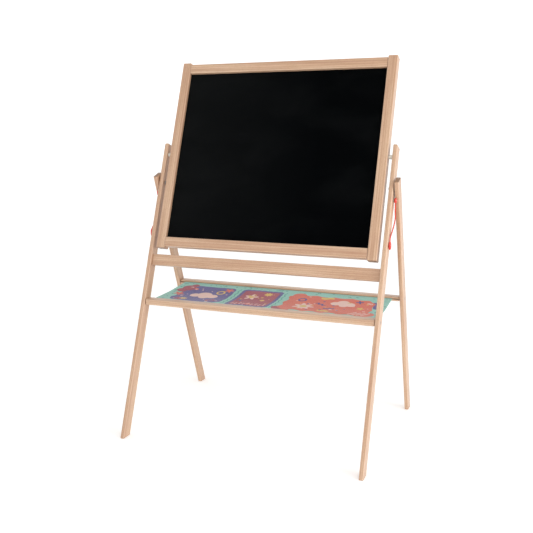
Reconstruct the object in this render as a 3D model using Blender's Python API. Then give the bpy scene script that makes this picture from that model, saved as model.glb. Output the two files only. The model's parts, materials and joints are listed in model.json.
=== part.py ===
"""Children's two-sided drawing easel: a folding beech A-frame with a turning board and a fabric tray.

Metres, +Z up, the front faces -Y and the feet stand on z = 0. The origin is under the middle of the
footprint. Everything is laid out from the driving dimensions below: the two frames are planes that
lean towards each other, so each has a small frame of its own (see Lean) in which its pieces are
placed by their distance up the leg.
"""
import math
from dataclasses import dataclass

import bmesh
import bpy
from mathutils import Euler, Matrix, Vector

# Driving dimensions (metres, radians).
GAP = 0.0003                    # left between pieces that touch
FRONT_LEAN = math.radians(20)   # front legs and board, back from the vertical
SPREAD = 0.586                  # between front and rear feet, centre to centre
FRAME_WIDTH = 0.768             # between the inner faces of the front legs

LEG_WIDTH = 0.014
LEG_DEPTH = 0.037
FRONT_LEG_LENGTH = 0.982        # floor to top, up the leg's centre line
LEG_ROUNDING = 0.0035

HINGE_UP = 0.848                # floor to hinge, up the front leg
REAR_LEG_PAST_HINGE = 0.030
HINGE_BOLT_RADIUS = 0.003
HINGE_BOLT_DEPTH = 0.009        # into the rear leg
HINGE_HEAD_RADIUS = 0.0065
HINGE_HEAD_HEIGHT = 0.0035
HINGE_WASHER_RADIUS = 0.009
HINGE_WASHER_THICKNESS = 0.0027

BOARD_SIDE_GAP = 0.0130         # between a stile and the front leg beside it
BOARD_HEIGHT = 0.648            # length of a stile
BOARD_THICKNESS = 0.031
STILE_WIDTH = 0.030
BOARD_RAIL_WIDTH = 0.0315
RAIL_INSET = 0.006              # stile ends stand past the rails
BOARD_ROUNDING = 0.0025
PANEL_THICKNESS = 0.003         # each of the two writing panels
PANEL_IN_GROOVE = 0.006
BOARD_UP = 0.9453               # floor to the board's pivot, up the front leg
BOARD_FORWARD = 0.0058          # the pivot sits forward of the leg's centre line
PIVOT_PIN_RADIUS = 0.0035
PIVOT_PIN_IN_LEG = 0.009
PIVOT_PIN_IN_STILE = 0.018
SPACER_RADIUS = 0.0065

CROSS_RAIL_TOP_UP = 0.6008      # floor to the cross rail's top edge, up the front leg
CROSS_RAIL_WIDTH = 0.037
CROSS_RAIL_THICKNESS = 0.018
DOWEL_RADIUS = 0.004
DOWEL_IN_LEG = 0.009
DOWEL_IN_RAIL = 0.022

TRAY_FRONT_HEIGHT = 0.4165      # middle of the front tray rail above the floor
TRAY_REAR_HEIGHT = 0.4320       # middle of the rear tray rail above the floor
TRAY_RAIL_DEPTH = 0.034
TRAY_FRONT_THICKNESS = 0.020
TRAY_REAR_THICKNESS = 0.015
TRAY_RAIL_ROUNDING = 0.005
GROOVE_HEIGHT = 0.003
GROOVE_DEPTH = 0.009
HEM_ROD_RADIUS = 0.0022
HEM_SLOT_RADIUS = 0.0026
FABRIC_SIDE_GAP = 0.006         # between the fabric's edge and the end of the front rail
FABRIC_THICKNESS = 0.0012
FABRIC_SAG = 0.007
SCREW_HEAD_RADIUS = 0.0036
SCREW_HEAD_HEIGHT = 0.002
SCREW_RADIUS = 0.0018
SCREW_LENGTH = 0.036

CORD_RADIUS = 0.0018
CORD_END_GAP = 0.0010           # between a cord's end and its bead
TOP_BEAD_RADIUS = 0.0042
TOP_BEAD_LENGTH = 0.015
LOW_BEAD_RADIUS = 0.0044
LOW_BEAD_LENGTH = 0.024
CORD_POINTS = 22

TOP_BEAD_OUT = 0.0070           # its centre, out from the front leg's side
TOP_BEAD_HEIGHT = 0.7629        # its centre, above the floor
LOW_BEAD_HEIGHT = 0.6341
LOW_BEAD_AHEAD = 0.0073         # ahead of the front leg's centre line, clear of the folded rear leg

# The cords' route between the beads, chosen by hand: how far out from the front leg's side, how far
# ahead of the rear leg's front face, and the height.
CORD_ROUTE = (
    (0.0061, 0.0100, 0.7450),
    (0.0051, 0.0104, 0.7280),
    (0.0042, 0.0079, 0.7090),
    (0.0032, 0.0264, 0.6890),
    (0.0028, 0.0571, 0.6710),
    (0.0036, 0.0885, 0.6580),
)

# Materials: colour, roughness, metallic.
MATERIALS = {
    "beech": ((0.66, 0.43, 0.27, 1), 0.55, 0.0),
    "chalkboard_black": ((0.006, 0.007, 0.007, 1), 0.75, 0.0),
    "whiteboard_white": ((0.86, 0.87, 0.86, 1), 0.2, 0.0),
    "teal_fabric": ((0.24, 0.50, 0.45, 1), 0.9, 0.0),
    "red_cord": ((0.80, 0.055, 0.03, 1), 0.6, 0.0),
    "red_bead": ((0.80, 0.055, 0.03, 1), 0.35, 0.0),
    "steel": ((0.55, 0.56, 0.57, 1), 0.35, 1.0),
    "pale_plastic": ((0.62, 0.62, 0.60, 1), 0.4, 0.0),
    "fibre_rod": ((0.75, 0.74, 0.70, 1), 0.5, 0.0),
}

# Values that follow from the driving ones.
FOOT_Y = SPREAD / 2                                  # front feet at -FOOT_Y, rear feet at +FOOT_Y
FRONT_INNER_X = FRAME_WIDTH / 2
FRONT_OUTER_X = FRONT_INNER_X + LEG_WIDTH
LEG_GAP = HINGE_WASHER_THICKNESS + 2 * GAP
REAR_INNER_X = FRONT_OUTER_X + LEG_GAP
REAR_OUTER_X = REAR_INNER_X + LEG_WIDTH
BOARD_WIDTH = FRAME_WIDTH - 2 * BOARD_SIDE_GAP
FABRIC_WIDTH = FRAME_WIDTH - 2 * FABRIC_SIDE_GAP


@dataclass
class Lean:
    """A leaning frame: up runs along the leg, and forward is square to it, towards local -Y."""

    foot_y: float
    angle: float       # rotation about X that tips +Z onto the leg

    @property
    def rotation(self):
        return Euler((self.angle, 0, 0))

    def point(self, x, up, forward=0.0):
        """World point at a distance up the leg and forward of its centre line."""
        local = Vector((x, -forward, up))
        return Vector((0, self.foot_y, 0)) + self.rotation.to_matrix() @ local

    def centre_y(self, height):
        """Y of the leg's centre line at a height above the floor."""
        return self.foot_y - math.tan(self.angle) * height

    def face_y(self, height):
        """Y of the leg's face nearest -Y at a height above the floor."""
        return self.centre_y(height) - LEG_DEPTH / 2 / math.cos(self.angle)

    def foot_trim(self, local_y):
        """Local z of the floor at a local y, which cuts the foot level."""
        return -math.tan(self.angle) * local_y


FRONT = Lean(-FOOT_Y, -FRONT_LEAN)
HINGE = FRONT.point(0, HINGE_UP)
REAR_LEAN = math.atan2(FOOT_Y - HINGE.y, HINGE.z)
REAR = Lean(FOOT_Y, REAR_LEAN)
REAR_HINGE_UP = math.hypot(FOOT_Y - HINGE.y, HINGE.z)
BOARD_PIVOT = FRONT.point(0, BOARD_UP, BOARD_FORWARD)
TRAY_FRONT_Y = FRONT.centre_y(TRAY_FRONT_HEIGHT)
TRAY_REAR_Y = REAR.centre_y(TRAY_REAR_HEIGHT)


def clear_scene():
    for thing in list(bpy.data.objects):
        bpy.data.objects.remove(thing, do_unlink=True)


def make_material(name):
    colour, roughness, metallic = MATERIALS[name]
    material = bpy.data.materials.new(name)
    material.use_nodes = True
    shader = material.node_tree.nodes["Principled BSDF"]
    shader.inputs["Base Color"].default_value = colour
    shader.inputs["Roughness"].default_value = roughness
    shader.inputs["Metallic"].default_value = metallic
    material.diffuse_color = colour
    return material


def add_object(name, mesh_or_curve, material, parent, location=(0, 0, 0), rotation=None):
    """Link an object whose location and rotation are in world axes, under its body's empty."""
    thing = bpy.data.objects.new(name, mesh_or_curve)
    thing.data.materials.append(bpy.data.materials[material])
    bpy.context.scene.collection.objects.link(thing)
    thing.location = Vector(location) - parent.location
    if rotation is not None:
        thing.rotation_euler = rotation
    thing.parent = parent
    return thing


def add_body(name, location):
    """An empty that carries one rigid body; a moving body's empty lies on its joint's axis."""
    empty = bpy.data.objects.new(name, None)
    bpy.context.scene.collection.objects.link(empty)
    empty.location = location
    return empty


def mesh_from(name, bm, smooth_angle=math.radians(35)):
    bmesh.ops.recalc_face_normals(bm, faces=bm.faces[:])
    mesh = bpy.data.meshes.new(name)
    bm.to_mesh(mesh)
    bm.free()
    mesh.shade_smooth()
    mesh.set_sharp_from_angle(angle=smooth_angle)
    return mesh


def box_mesh(name, low, high):
    bm = bmesh.new()
    size = Vector(high) - Vector(low)
    middle = (Vector(high) + Vector(low)) / 2
    place = Matrix.Translation(middle) @ Matrix.Diagonal((*size, 1))
    bmesh.ops.create_cube(bm, size=1, matrix=place)
    return mesh_from(name, bm)


def turned_mesh(name, profile, segments=32):
    """Solid of revolution about local X. Profile points are (x, radius), radius 0 at both ends."""
    bm = bmesh.new()
    rings = []
    for x, radius in profile:
        if radius == 0:
            rings.append([bm.verts.new((x, 0, 0))])
            continue
        ring = []
        for i in range(segments):
            turn = math.tau * i / segments
            ring.append(bm.verts.new((x, radius * math.cos(turn), radius * math.sin(turn))))
        rings.append(ring)
    for start, end in zip(rings, rings[1:]):
        for i in range(segments):
            j = (i + 1) % segments
            corners = [start[i % len(start)], start[j % len(start)], end[j % len(end)], end[i % len(end)]]
            bm.faces.new(list(dict.fromkeys(corners)))
    return mesh_from(name, bm)


def tube_mesh(name, x_low, x_high, inner, outer, segments=32):
    """A ring about local X with a round bore."""
    bm = bmesh.new()
    rings = []
    for x, radius in ((x_low, inner), (x_low, outer), (x_high, outer), (x_high, inner)):
        ring = []
        for i in range(segments):
            turn = math.tau * i / segments
            ring.append(bm.verts.new((x, radius * math.cos(turn), radius * math.sin(turn))))
        rings.append(ring)
    for k, start in enumerate(rings):
        end = rings[(k + 1) % len(rings)]
        for i in range(segments):
            j = (i + 1) % segments
            bm.faces.new((start[i], start[j], end[j], end[i]))
    return mesh_from(name, bm)


def round_edges(thing, width, segments=3):
    bevel = thing.modifiers.new("rounded edges", "BEVEL")
    bevel.width = width
    bevel.segments = segments
    bevel.limit_method = "ANGLE"
    bevel.angle_limit = math.radians(50)


def cut(thing, cutter):
    """Subtract a cutter, which stays in the scene as a hidden guide."""
    cutter.hide_render = True
    cutter.display_type = "WIRE"
    boolean = thing.modifiers.new("cut " + cutter.name, "BOOLEAN")
    boolean.object = cutter
    boolean.operation = "DIFFERENCE"
    boolean.solver = "EXACT"


def drill(things, name, parent, place, radius, x_low, x_high):
    """Drill a hole along X at a world (y, z) from x_low to x_high through each thing."""
    profile = [(x_low, 0), (x_low, radius), (x_high, radius), (x_high, 0)]
    cutter = add_object(
        name + "_hole", turned_mesh(name + "_hole", profile, 24), "steel", parent, (0, place.y, place.z)
    )
    for thing in things:
        cut(thing, cutter)
    return cutter


def side_name(side):
    return "right" if side > 0 else "left"


def leg(name, lean, length, x_inner, side, parent):
    """A leg of rounded rectangular stock, cut level at the floor and square at the top."""
    bm = bmesh.new()
    half = LEG_DEPTH / 2
    x_low, x_high = sorted((side * x_inner, side * (x_inner + LEG_WIDTH)))
    verts = []
    for x in (x_low, x_high):
        for y in (-half, half):
            verts.append(bm.verts.new((x, y, lean.foot_trim(y))))
            verts.append(bm.verts.new((x, y, length)))
    for corners in ((0, 1, 3, 2), (4, 6, 7, 5), (0, 4, 5, 1), (2, 3, 7, 6), (0, 2, 6, 4), (1, 5, 7, 3)):
        bm.faces.new([verts[i] for i in corners])
    upright = [e for e in bm.edges if abs(e.verts[0].co.z - e.verts[1].co.z) > length / 2]
    bmesh.ops.bevel(bm, geom=upright, offset=LEG_ROUNDING, segments=4, profile=0.5, affect="EDGES")
    top = [e for e in bm.edges if min(v.co.z for v in e.verts) > length - 0.0001]
    bmesh.ops.bevel(bm, geom=top, offset=0.001, segments=2, profile=0.5, affect="EDGES")
    return add_object(name, mesh_from(name, bm), "beech", parent, (0, lean.foot_y, 0), lean.rotation)


def board_part(name, low, high, material, body, rounding=BOARD_ROUNDING):
    """A board piece, given in the board's own frame about its pivot: X, thickness, up the board."""
    mesh = box_mesh(name, low, high)
    thing = add_object(name, mesh, material, body, BOARD_PIVOT, FRONT.rotation)
    if rounding:
        round_edges(thing, rounding, 2)
    return thing


def build_board(body):
    """Stiles and rails around two panels back to back, which sit in a groove."""
    half_width = BOARD_WIDTH / 2
    half_height = BOARD_HEIGHT / 2
    half_depth = BOARD_THICKNESS / 2
    stile_inner = half_width - STILE_WIDTH
    rail_outer = half_height - RAIL_INSET
    rail_inner = rail_outer - BOARD_RAIL_WIDTH
    frame = []
    stiles = {}
    for side in (-1, 1):
        x_low, x_high = sorted((side * stile_inner, side * half_width))
        stile = board_part(
            "board_stile_" + side_name(side),
            (x_low, -half_depth, -half_height), (x_high, half_depth, half_height), "beech", body,
        )
        stiles[side] = stile
        frame.append(stile)
    for side, label in ((1, "top"), (-1, "bottom")):
        z_low, z_high = sorted((side * rail_inner, side * rail_outer))
        frame.append(board_part(
            "board_rail_" + label,
            (-stile_inner + GAP, -half_depth, z_low), (stile_inner - GAP, half_depth, z_high), "beech", body,
        ))
    panel_x = stile_inner + PANEL_IN_GROOVE
    panel_z = rail_inner + PANEL_IN_GROOVE
    seam = GAP / 2
    board_part(
        "chalkboard_panel", (-panel_x, -PANEL_THICKNESS - seam, -panel_z), (panel_x, -seam, panel_z),
        "chalkboard_black", body, 0,
    )
    board_part(
        "whiteboard_panel", (-panel_x, seam, -panel_z), (panel_x, PANEL_THICKNESS + seam, panel_z),
        "whiteboard_white", body, 0,
    )
    slot_depth = PANEL_THICKNESS + seam + GAP
    slot = board_part(
        "panel_groove_guide",
        (-panel_x - GAP, -slot_depth, -panel_z - GAP), (panel_x + GAP, slot_depth, panel_z + GAP),
        "beech", body, 0,
    )
    for thing in frame:
        cut(thing, slot)
    return stiles


def build_pivots(front, board, legs, stiles):
    """A steel pin in each front leg carries the board; a spacer fills the gap beside the stile."""
    for side in (-1, 1):
        label = side_name(side)
        leg_end = side * (FRONT_INNER_X + PIVOT_PIN_IN_LEG)
        stile_end = side * (BOARD_WIDTH / 2 - PIVOT_PIN_IN_STILE)
        low, high = sorted((leg_end, stile_end))
        pin = turned_mesh(
            "pivot_pin_" + label, [(low, 0), (low, PIVOT_PIN_RADIUS), (high, PIVOT_PIN_RADIUS), (high, 0)]
        )
        add_object("pivot_pin_" + label, pin, "steel", front, (0, BOARD_PIVOT.y, BOARD_PIVOT.z))
        low, high = sorted((side * (BOARD_WIDTH / 2 + GAP), side * (FRONT_INNER_X - GAP)))
        spacer = tube_mesh("pivot_spacer_" + label, low, high, PIVOT_PIN_RADIUS + GAP, SPACER_RADIUS)
        add_object("pivot_spacer_" + label, spacer, "pale_plastic", front, (0, BOARD_PIVOT.y, BOARD_PIVOT.z))
        low, high = sorted((leg_end + side * GAP, stile_end - side * GAP))
        radius = PIVOT_PIN_RADIUS + GAP
        drill([legs[side]], "leg_pivot_" + label, front, BOARD_PIVOT, radius, low, high)
        drill([stiles[side]], "stile_pivot_" + label, board, BOARD_PIVOT, radius, low, high)


def build_hinges(front, rear, front_legs, rear_legs):
    """A bolt with its head inside the front leg turns in that leg and is fast in the rear leg."""
    for side in (-1, 1):
        label = side_name(side)
        head_x = FRONT_INNER_X - GAP
        tip_x = REAR_INNER_X + HINGE_BOLT_DEPTH
        crown = HINGE_HEAD_RADIUS * 0.75
        profile = [
            (head_x - HINGE_HEAD_HEIGHT, 0),
            (head_x - HINGE_HEAD_HEIGHT, crown),
            (head_x - HINGE_HEAD_HEIGHT * 0.45, HINGE_HEAD_RADIUS),
            (head_x, HINGE_HEAD_RADIUS),
            (head_x, HINGE_BOLT_RADIUS),
            (tip_x, HINGE_BOLT_RADIUS),
            (tip_x, 0),
        ]
        profile = [(side * x, radius) for x, radius in profile]
        name = "hinge_bolt_" + label
        add_object(name, turned_mesh(name, profile), "steel", rear, (0, HINGE.y, HINGE.z))
        low, high = sorted((side * (FRONT_OUTER_X + GAP), side * (REAR_INNER_X - GAP)))
        name = "hinge_washer_" + label
        bore = HINGE_BOLT_RADIUS + GAP
        washer = tube_mesh(name, low, high, bore, HINGE_WASHER_RADIUS)
        add_object(name, washer, "steel", front, (0, HINGE.y, HINGE.z))
        low, high = sorted((side * (FRONT_INNER_X - 0.001), side * (tip_x + GAP)))
        drill([front_legs[side]], "front_hinge_" + label, front, HINGE, bore, low, high)
        drill([rear_legs[side]], "rear_hinge_" + label, rear, HINGE, bore, low, high)


def build_cross_rail(front, legs):
    """The flat rail under the board, held by a hidden dowel in each leg."""
    half = FRONT_INNER_X - GAP
    up = CROSS_RAIL_TOP_UP - CROSS_RAIL_WIDTH / 2
    mesh = box_mesh(
        "cross_rail", (-half, -CROSS_RAIL_THICKNESS / 2, -CROSS_RAIL_WIDTH / 2),
        (half, CROSS_RAIL_THICKNESS / 2, CROSS_RAIL_WIDTH / 2),
    )
    place = FRONT.point(0, up)
    rail = add_object("cross_rail", mesh, "beech", front, place, FRONT.rotation)
    round_edges(rail, 0.002)
    for side in (-1, 1):
        label = side_name(side)
        outer = FRONT_INNER_X + DOWEL_IN_LEG
        inner = FRONT_INNER_X - DOWEL_IN_RAIL
        low, high = sorted((side * outer, side * inner))
        name = "cross_rail_dowel_" + label
        dowel = turned_mesh(name, [(low, 0), (low, DOWEL_RADIUS), (high, DOWEL_RADIUS), (high, 0)], 24)
        add_object(name, dowel, "beech", front, (0, place.y, place.z))
        drill([rail, legs[side]], name, front, place, DOWEL_RADIUS + GAP, low - GAP, high + GAP)


def tray_rail(name, place, half_length, thickness, inward, parent):
    """A level rail with rounded edges and a groove, with a round slot for the hem rod, that faces
    the fabric. inward is +1 when the fabric lies towards +Y."""
    half_depth = TRAY_RAIL_DEPTH / 2
    mesh = box_mesh(
        name, (-half_length, -half_depth, -thickness / 2), (half_length, half_depth, thickness / 2)
    )
    rail = add_object(name, mesh, "beech", parent, place)
    round_edges(rail, TRAY_RAIL_ROUNDING, 4)
    face = inward * half_depth
    bottom = face - inward * GROOVE_DEPTH
    y_low, y_high = sorted((bottom, face + inward * 0.002))
    groove = add_object(
        name + "_groove",
        box_mesh(
            name + "_groove", (-half_length - 0.01, y_low, -GROOVE_HEIGHT / 2),
            (half_length + 0.01, y_high, GROOVE_HEIGHT / 2),
        ),
        "beech", parent, place,
    )
    cut(rail, groove)
    slot_profile = [
        (-half_length - 0.01, 0), (-half_length - 0.01, HEM_SLOT_RADIUS),
        (half_length + 0.01, HEM_SLOT_RADIUS), (half_length + 0.01, 0),
    ]
    slot = add_object(
        name + "_slot", turned_mesh(name + "_slot", slot_profile, 16), "beech", parent,
        (0, place.y + bottom, place.z),
    )
    cut(rail, slot)
    return rail


def hem_rod(name, place, inward, parent):
    """The rod in the fabric's hem, which the groove holds."""
    half = FABRIC_WIDTH / 2
    y = place.y + inward * (TRAY_RAIL_DEPTH / 2 - GROOVE_DEPTH)
    profile = [(-half, 0), (-half, HEM_ROD_RADIUS), (half, HEM_ROD_RADIUS), (half, 0)]
    add_object(name, turned_mesh(name, profile, 12), "fibre_rod", parent, (0, y, place.z))


def screw(name, place, x_head, side, things, parent):
    """A countersunk wood screw driven inwards along X, its head just under the face at x_head."""
    head = x_head - 0.0004
    profile = [
        (head, 0),
        (head, SCREW_HEAD_RADIUS),
        (head - SCREW_HEAD_HEIGHT, SCREW_RADIUS),
        (head - SCREW_LENGTH, SCREW_RADIUS),
        (head - SCREW_LENGTH - 0.002, 0),
    ]
    mesh = turned_mesh(name, [(side * x, radius) for x, radius in profile], 20)
    add_object(name, mesh, "steel", parent, (0, place.y, place.z))
    hole = [
        (x_head + 0.002, 0),
        (x_head + 0.002, SCREW_HEAD_RADIUS + GAP),
        (head, SCREW_HEAD_RADIUS + GAP),
        (head - SCREW_HEAD_HEIGHT - GAP, SCREW_RADIUS + GAP),
        (head - SCREW_LENGTH - 0.003, SCREW_RADIUS + GAP),
        (head - SCREW_LENGTH - 0.003, 0),
    ]
    cutter = add_object(
        name + "_hole", turned_mesh(name + "_hole", [(side * x, r) for x, r in hole], 20), "steel",
        parent, (0, place.y, place.z),
    )
    for thing in things:
        cut(thing, cutter)


def build_tray(front, rear, front_legs, rear_legs):
    """Front and rear tray rails, screwed through the legs, with the hem rods in their grooves."""
    front_place = Vector((0, TRAY_FRONT_Y, TRAY_FRONT_HEIGHT))
    rear_place = Vector((0, TRAY_REAR_Y, TRAY_REAR_HEIGHT))
    front_rail = tray_rail(
        "tray_rail_front", front_place, FRONT_INNER_X - GAP, TRAY_FRONT_THICKNESS, 1, front
    )
    rear_rail = tray_rail(
        "tray_rail_rear", rear_place, REAR_INNER_X - GAP, TRAY_REAR_THICKNESS, -1, rear
    )
    hem_rod("hem_rod_front", front_place, 1, front)
    hem_rod("hem_rod_rear", rear_place, -1, rear)
    for side in (-1, 1):
        label = side_name(side)
        held = [front_rail, front_legs[side]]
        screw("tray_screw_front_" + label, front_place, FRONT_OUTER_X, side, held, front)
        held = [rear_rail, rear_legs[side]]
        screw("tray_screw_rear_" + label, rear_place, REAR_OUTER_X, side, held, rear)


def build_fabric(parent):
    """The fabric as one thin solid from groove to groove, with a slight sag between the rails."""
    front_mouth = TRAY_FRONT_Y + TRAY_RAIL_DEPTH / 2
    rear_mouth = TRAY_REAR_Y - TRAY_RAIL_DEPTH / 2
    hem = GROOVE_DEPTH - HEM_SLOT_RADIUS - 0.001
    start, end = front_mouth - hem, rear_mouth + hem
    steps = 28
    half = FABRIC_WIDTH / 2
    bm = bmesh.new()
    rows = []
    for i in range(steps + 1):
        y = start + (end - start) * i / steps
        along = min(max((y - front_mouth) / (rear_mouth - front_mouth), 0), 1)
        z = TRAY_FRONT_HEIGHT + (TRAY_REAR_HEIGHT - TRAY_FRONT_HEIGHT) * along
        z -= FABRIC_SAG * math.sin(math.pi * along) ** 2
        row = []
        for x, dz in ((-half, 0.5), (half, 0.5), (half, -0.5), (-half, -0.5)):
            row.append(bm.verts.new((x, y, z + dz * FABRIC_THICKNESS)))
        rows.append(row)
    for near, far in zip(rows, rows[1:]):
        for i in range(4):
            j = (i + 1) % 4
            bm.faces.new((near[i], near[j], far[j], far[i]))
    bm.faces.new(rows[0])
    bm.faces.new(rows[-1])
    mesh = mesh_from("tray_fabric", bm)
    add_object("tray_fabric", mesh, "teal_fabric", parent, (0, 0, 0))


def smooth_route(points, count):
    """Evenly spaced points on a Catmull-Rom curve through the route's points."""
    path = []
    padded = [points[0] * 2 - points[1], *points, points[-1] * 2 - points[-2]]
    fine = 40
    for a, b, c, d in zip(padded, padded[1:], padded[2:], padded[3:]):
        for i in range(fine):
            t = i / fine
            path.append(0.5 * (2 * b + (c - a) * t + (2 * a - 5 * b + 4 * c - d) * t ** 2
                               + (3 * b - a - 3 * c + d) * t ** 3))
    path.append(points[-1])
    lengths = [0.0]
    for start, end in zip(path, path[1:]):
        lengths.append(lengths[-1] + (end - start).length)
    even = []
    for i in range(count):
        wanted = lengths[-1] * i / (count - 1)
        k = min(max(j for j, total in enumerate(lengths) if total <= wanted), len(path) - 2)
        share = (wanted - lengths[k]) / (lengths[k + 1] - lengths[k])
        even.append(path[k].lerp(path[k + 1], share))
    return even


def bead(name, centre, radius, length, parent, fullness=0.5):
    """An oval bead about the vertical: the radius swells as a power of the sine along its length."""
    steps = 12
    profile = []
    for i in range(steps + 1):
        angle = math.pi * i / steps
        profile.append((-length / 2 * math.cos(angle), radius * max(math.sin(angle), 0) ** fullness))
    profile[0] = (-length / 2, 0)
    profile[-1] = (length / 2, 0)
    mesh = turned_mesh(name, profile, 20)
    return add_object(name, mesh, "red_bead", parent, centre, Euler((0, math.radians(90), 0)))


def build_cords(front, rear):
    """A slack stay cord on each side, from a bead on the rear leg to a bead beside the front leg."""
    for side in (-1, 1):
        label = side_name(side)
        face = REAR.face_y(TOP_BEAD_HEIGHT)
        reach = TOP_BEAD_RADIUS + TOP_BEAD_LENGTH / 2 * math.tan(REAR.angle)
        top = Vector((side * (FRONT_OUTER_X + TOP_BEAD_OUT), face - reach, TOP_BEAD_HEIGHT))
        low_x = FRONT_OUTER_X + LOW_BEAD_RADIUS + GAP
        low_y = FRONT.centre_y(LOW_BEAD_HEIGHT) - LOW_BEAD_AHEAD
        low = Vector((side * low_x, low_y, LOW_BEAD_HEIGHT))
        route = [top - Vector((0, 0, TOP_BEAD_LENGTH / 2 + CORD_END_GAP))]
        for out, ahead, height in CORD_ROUTE:
            route.append(Vector((side * (FRONT_OUTER_X + out), REAR.face_y(height) - ahead, height)))
        route.append(low + Vector((0, 0, LOW_BEAD_LENGTH / 2 + CORD_END_GAP)))
        curve = bpy.data.curves.new("stay_cord_" + label, "CURVE")
        curve.dimensions = "3D"
        curve.bevel_depth = CORD_RADIUS
        curve.bevel_resolution = 2
        curve.use_fill_caps = True
        spline = curve.splines.new("POLY")
        points = smooth_route(route, CORD_POINTS)
        spline.points.add(len(points) - 1)
        for slot, point in zip(spline.points, points):
            slot.co = (*point, 1)
        add_object("stay_cord_" + label, curve, "red_cord", front)
        bead("cord_bead_top_" + label, top, TOP_BEAD_RADIUS, TOP_BEAD_LENGTH, rear)
        bead("cord_bead_low_" + label, low, LOW_BEAD_RADIUS, LOW_BEAD_LENGTH, front)


def main():
    clear_scene()
    for name in MATERIALS:
        make_material(name)
    front = add_body("front_frame", Vector((0, -FOOT_Y, 0)))
    board = add_body("board", BOARD_PIVOT)
    rear = add_body("rear_frame", HINGE)
    front_legs = {}
    rear_legs = {}
    for side in (-1, 1):
        label = side_name(side)
        front_legs[side] = leg("front_leg_" + label, FRONT, FRONT_LEG_LENGTH, FRONT_INNER_X, side, front)
        length = REAR_HINGE_UP + REAR_LEG_PAST_HINGE
        rear_legs[side] = leg("rear_leg_" + label, REAR, length, REAR_INNER_X, side, rear)
    build_cross_rail(front, front_legs)
    stiles = build_board(board)
    build_pivots(front, board, front_legs, stiles)
    build_hinges(front, rear, front_legs, rear_legs)
    build_tray(front, rear, front_legs, rear_legs)
    build_fabric(front)
    build_cords(front, rear)


main()
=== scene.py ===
"""Kids easel: the finished pieces of a folding beech easel, laid out as a Blender add-on.

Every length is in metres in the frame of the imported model: +X to the right seen from the front, the
front towards -Y, the floor at z = 0. A piece's mesh holds its place, and its object sits at the origin.
"""

import json
import sys

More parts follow.
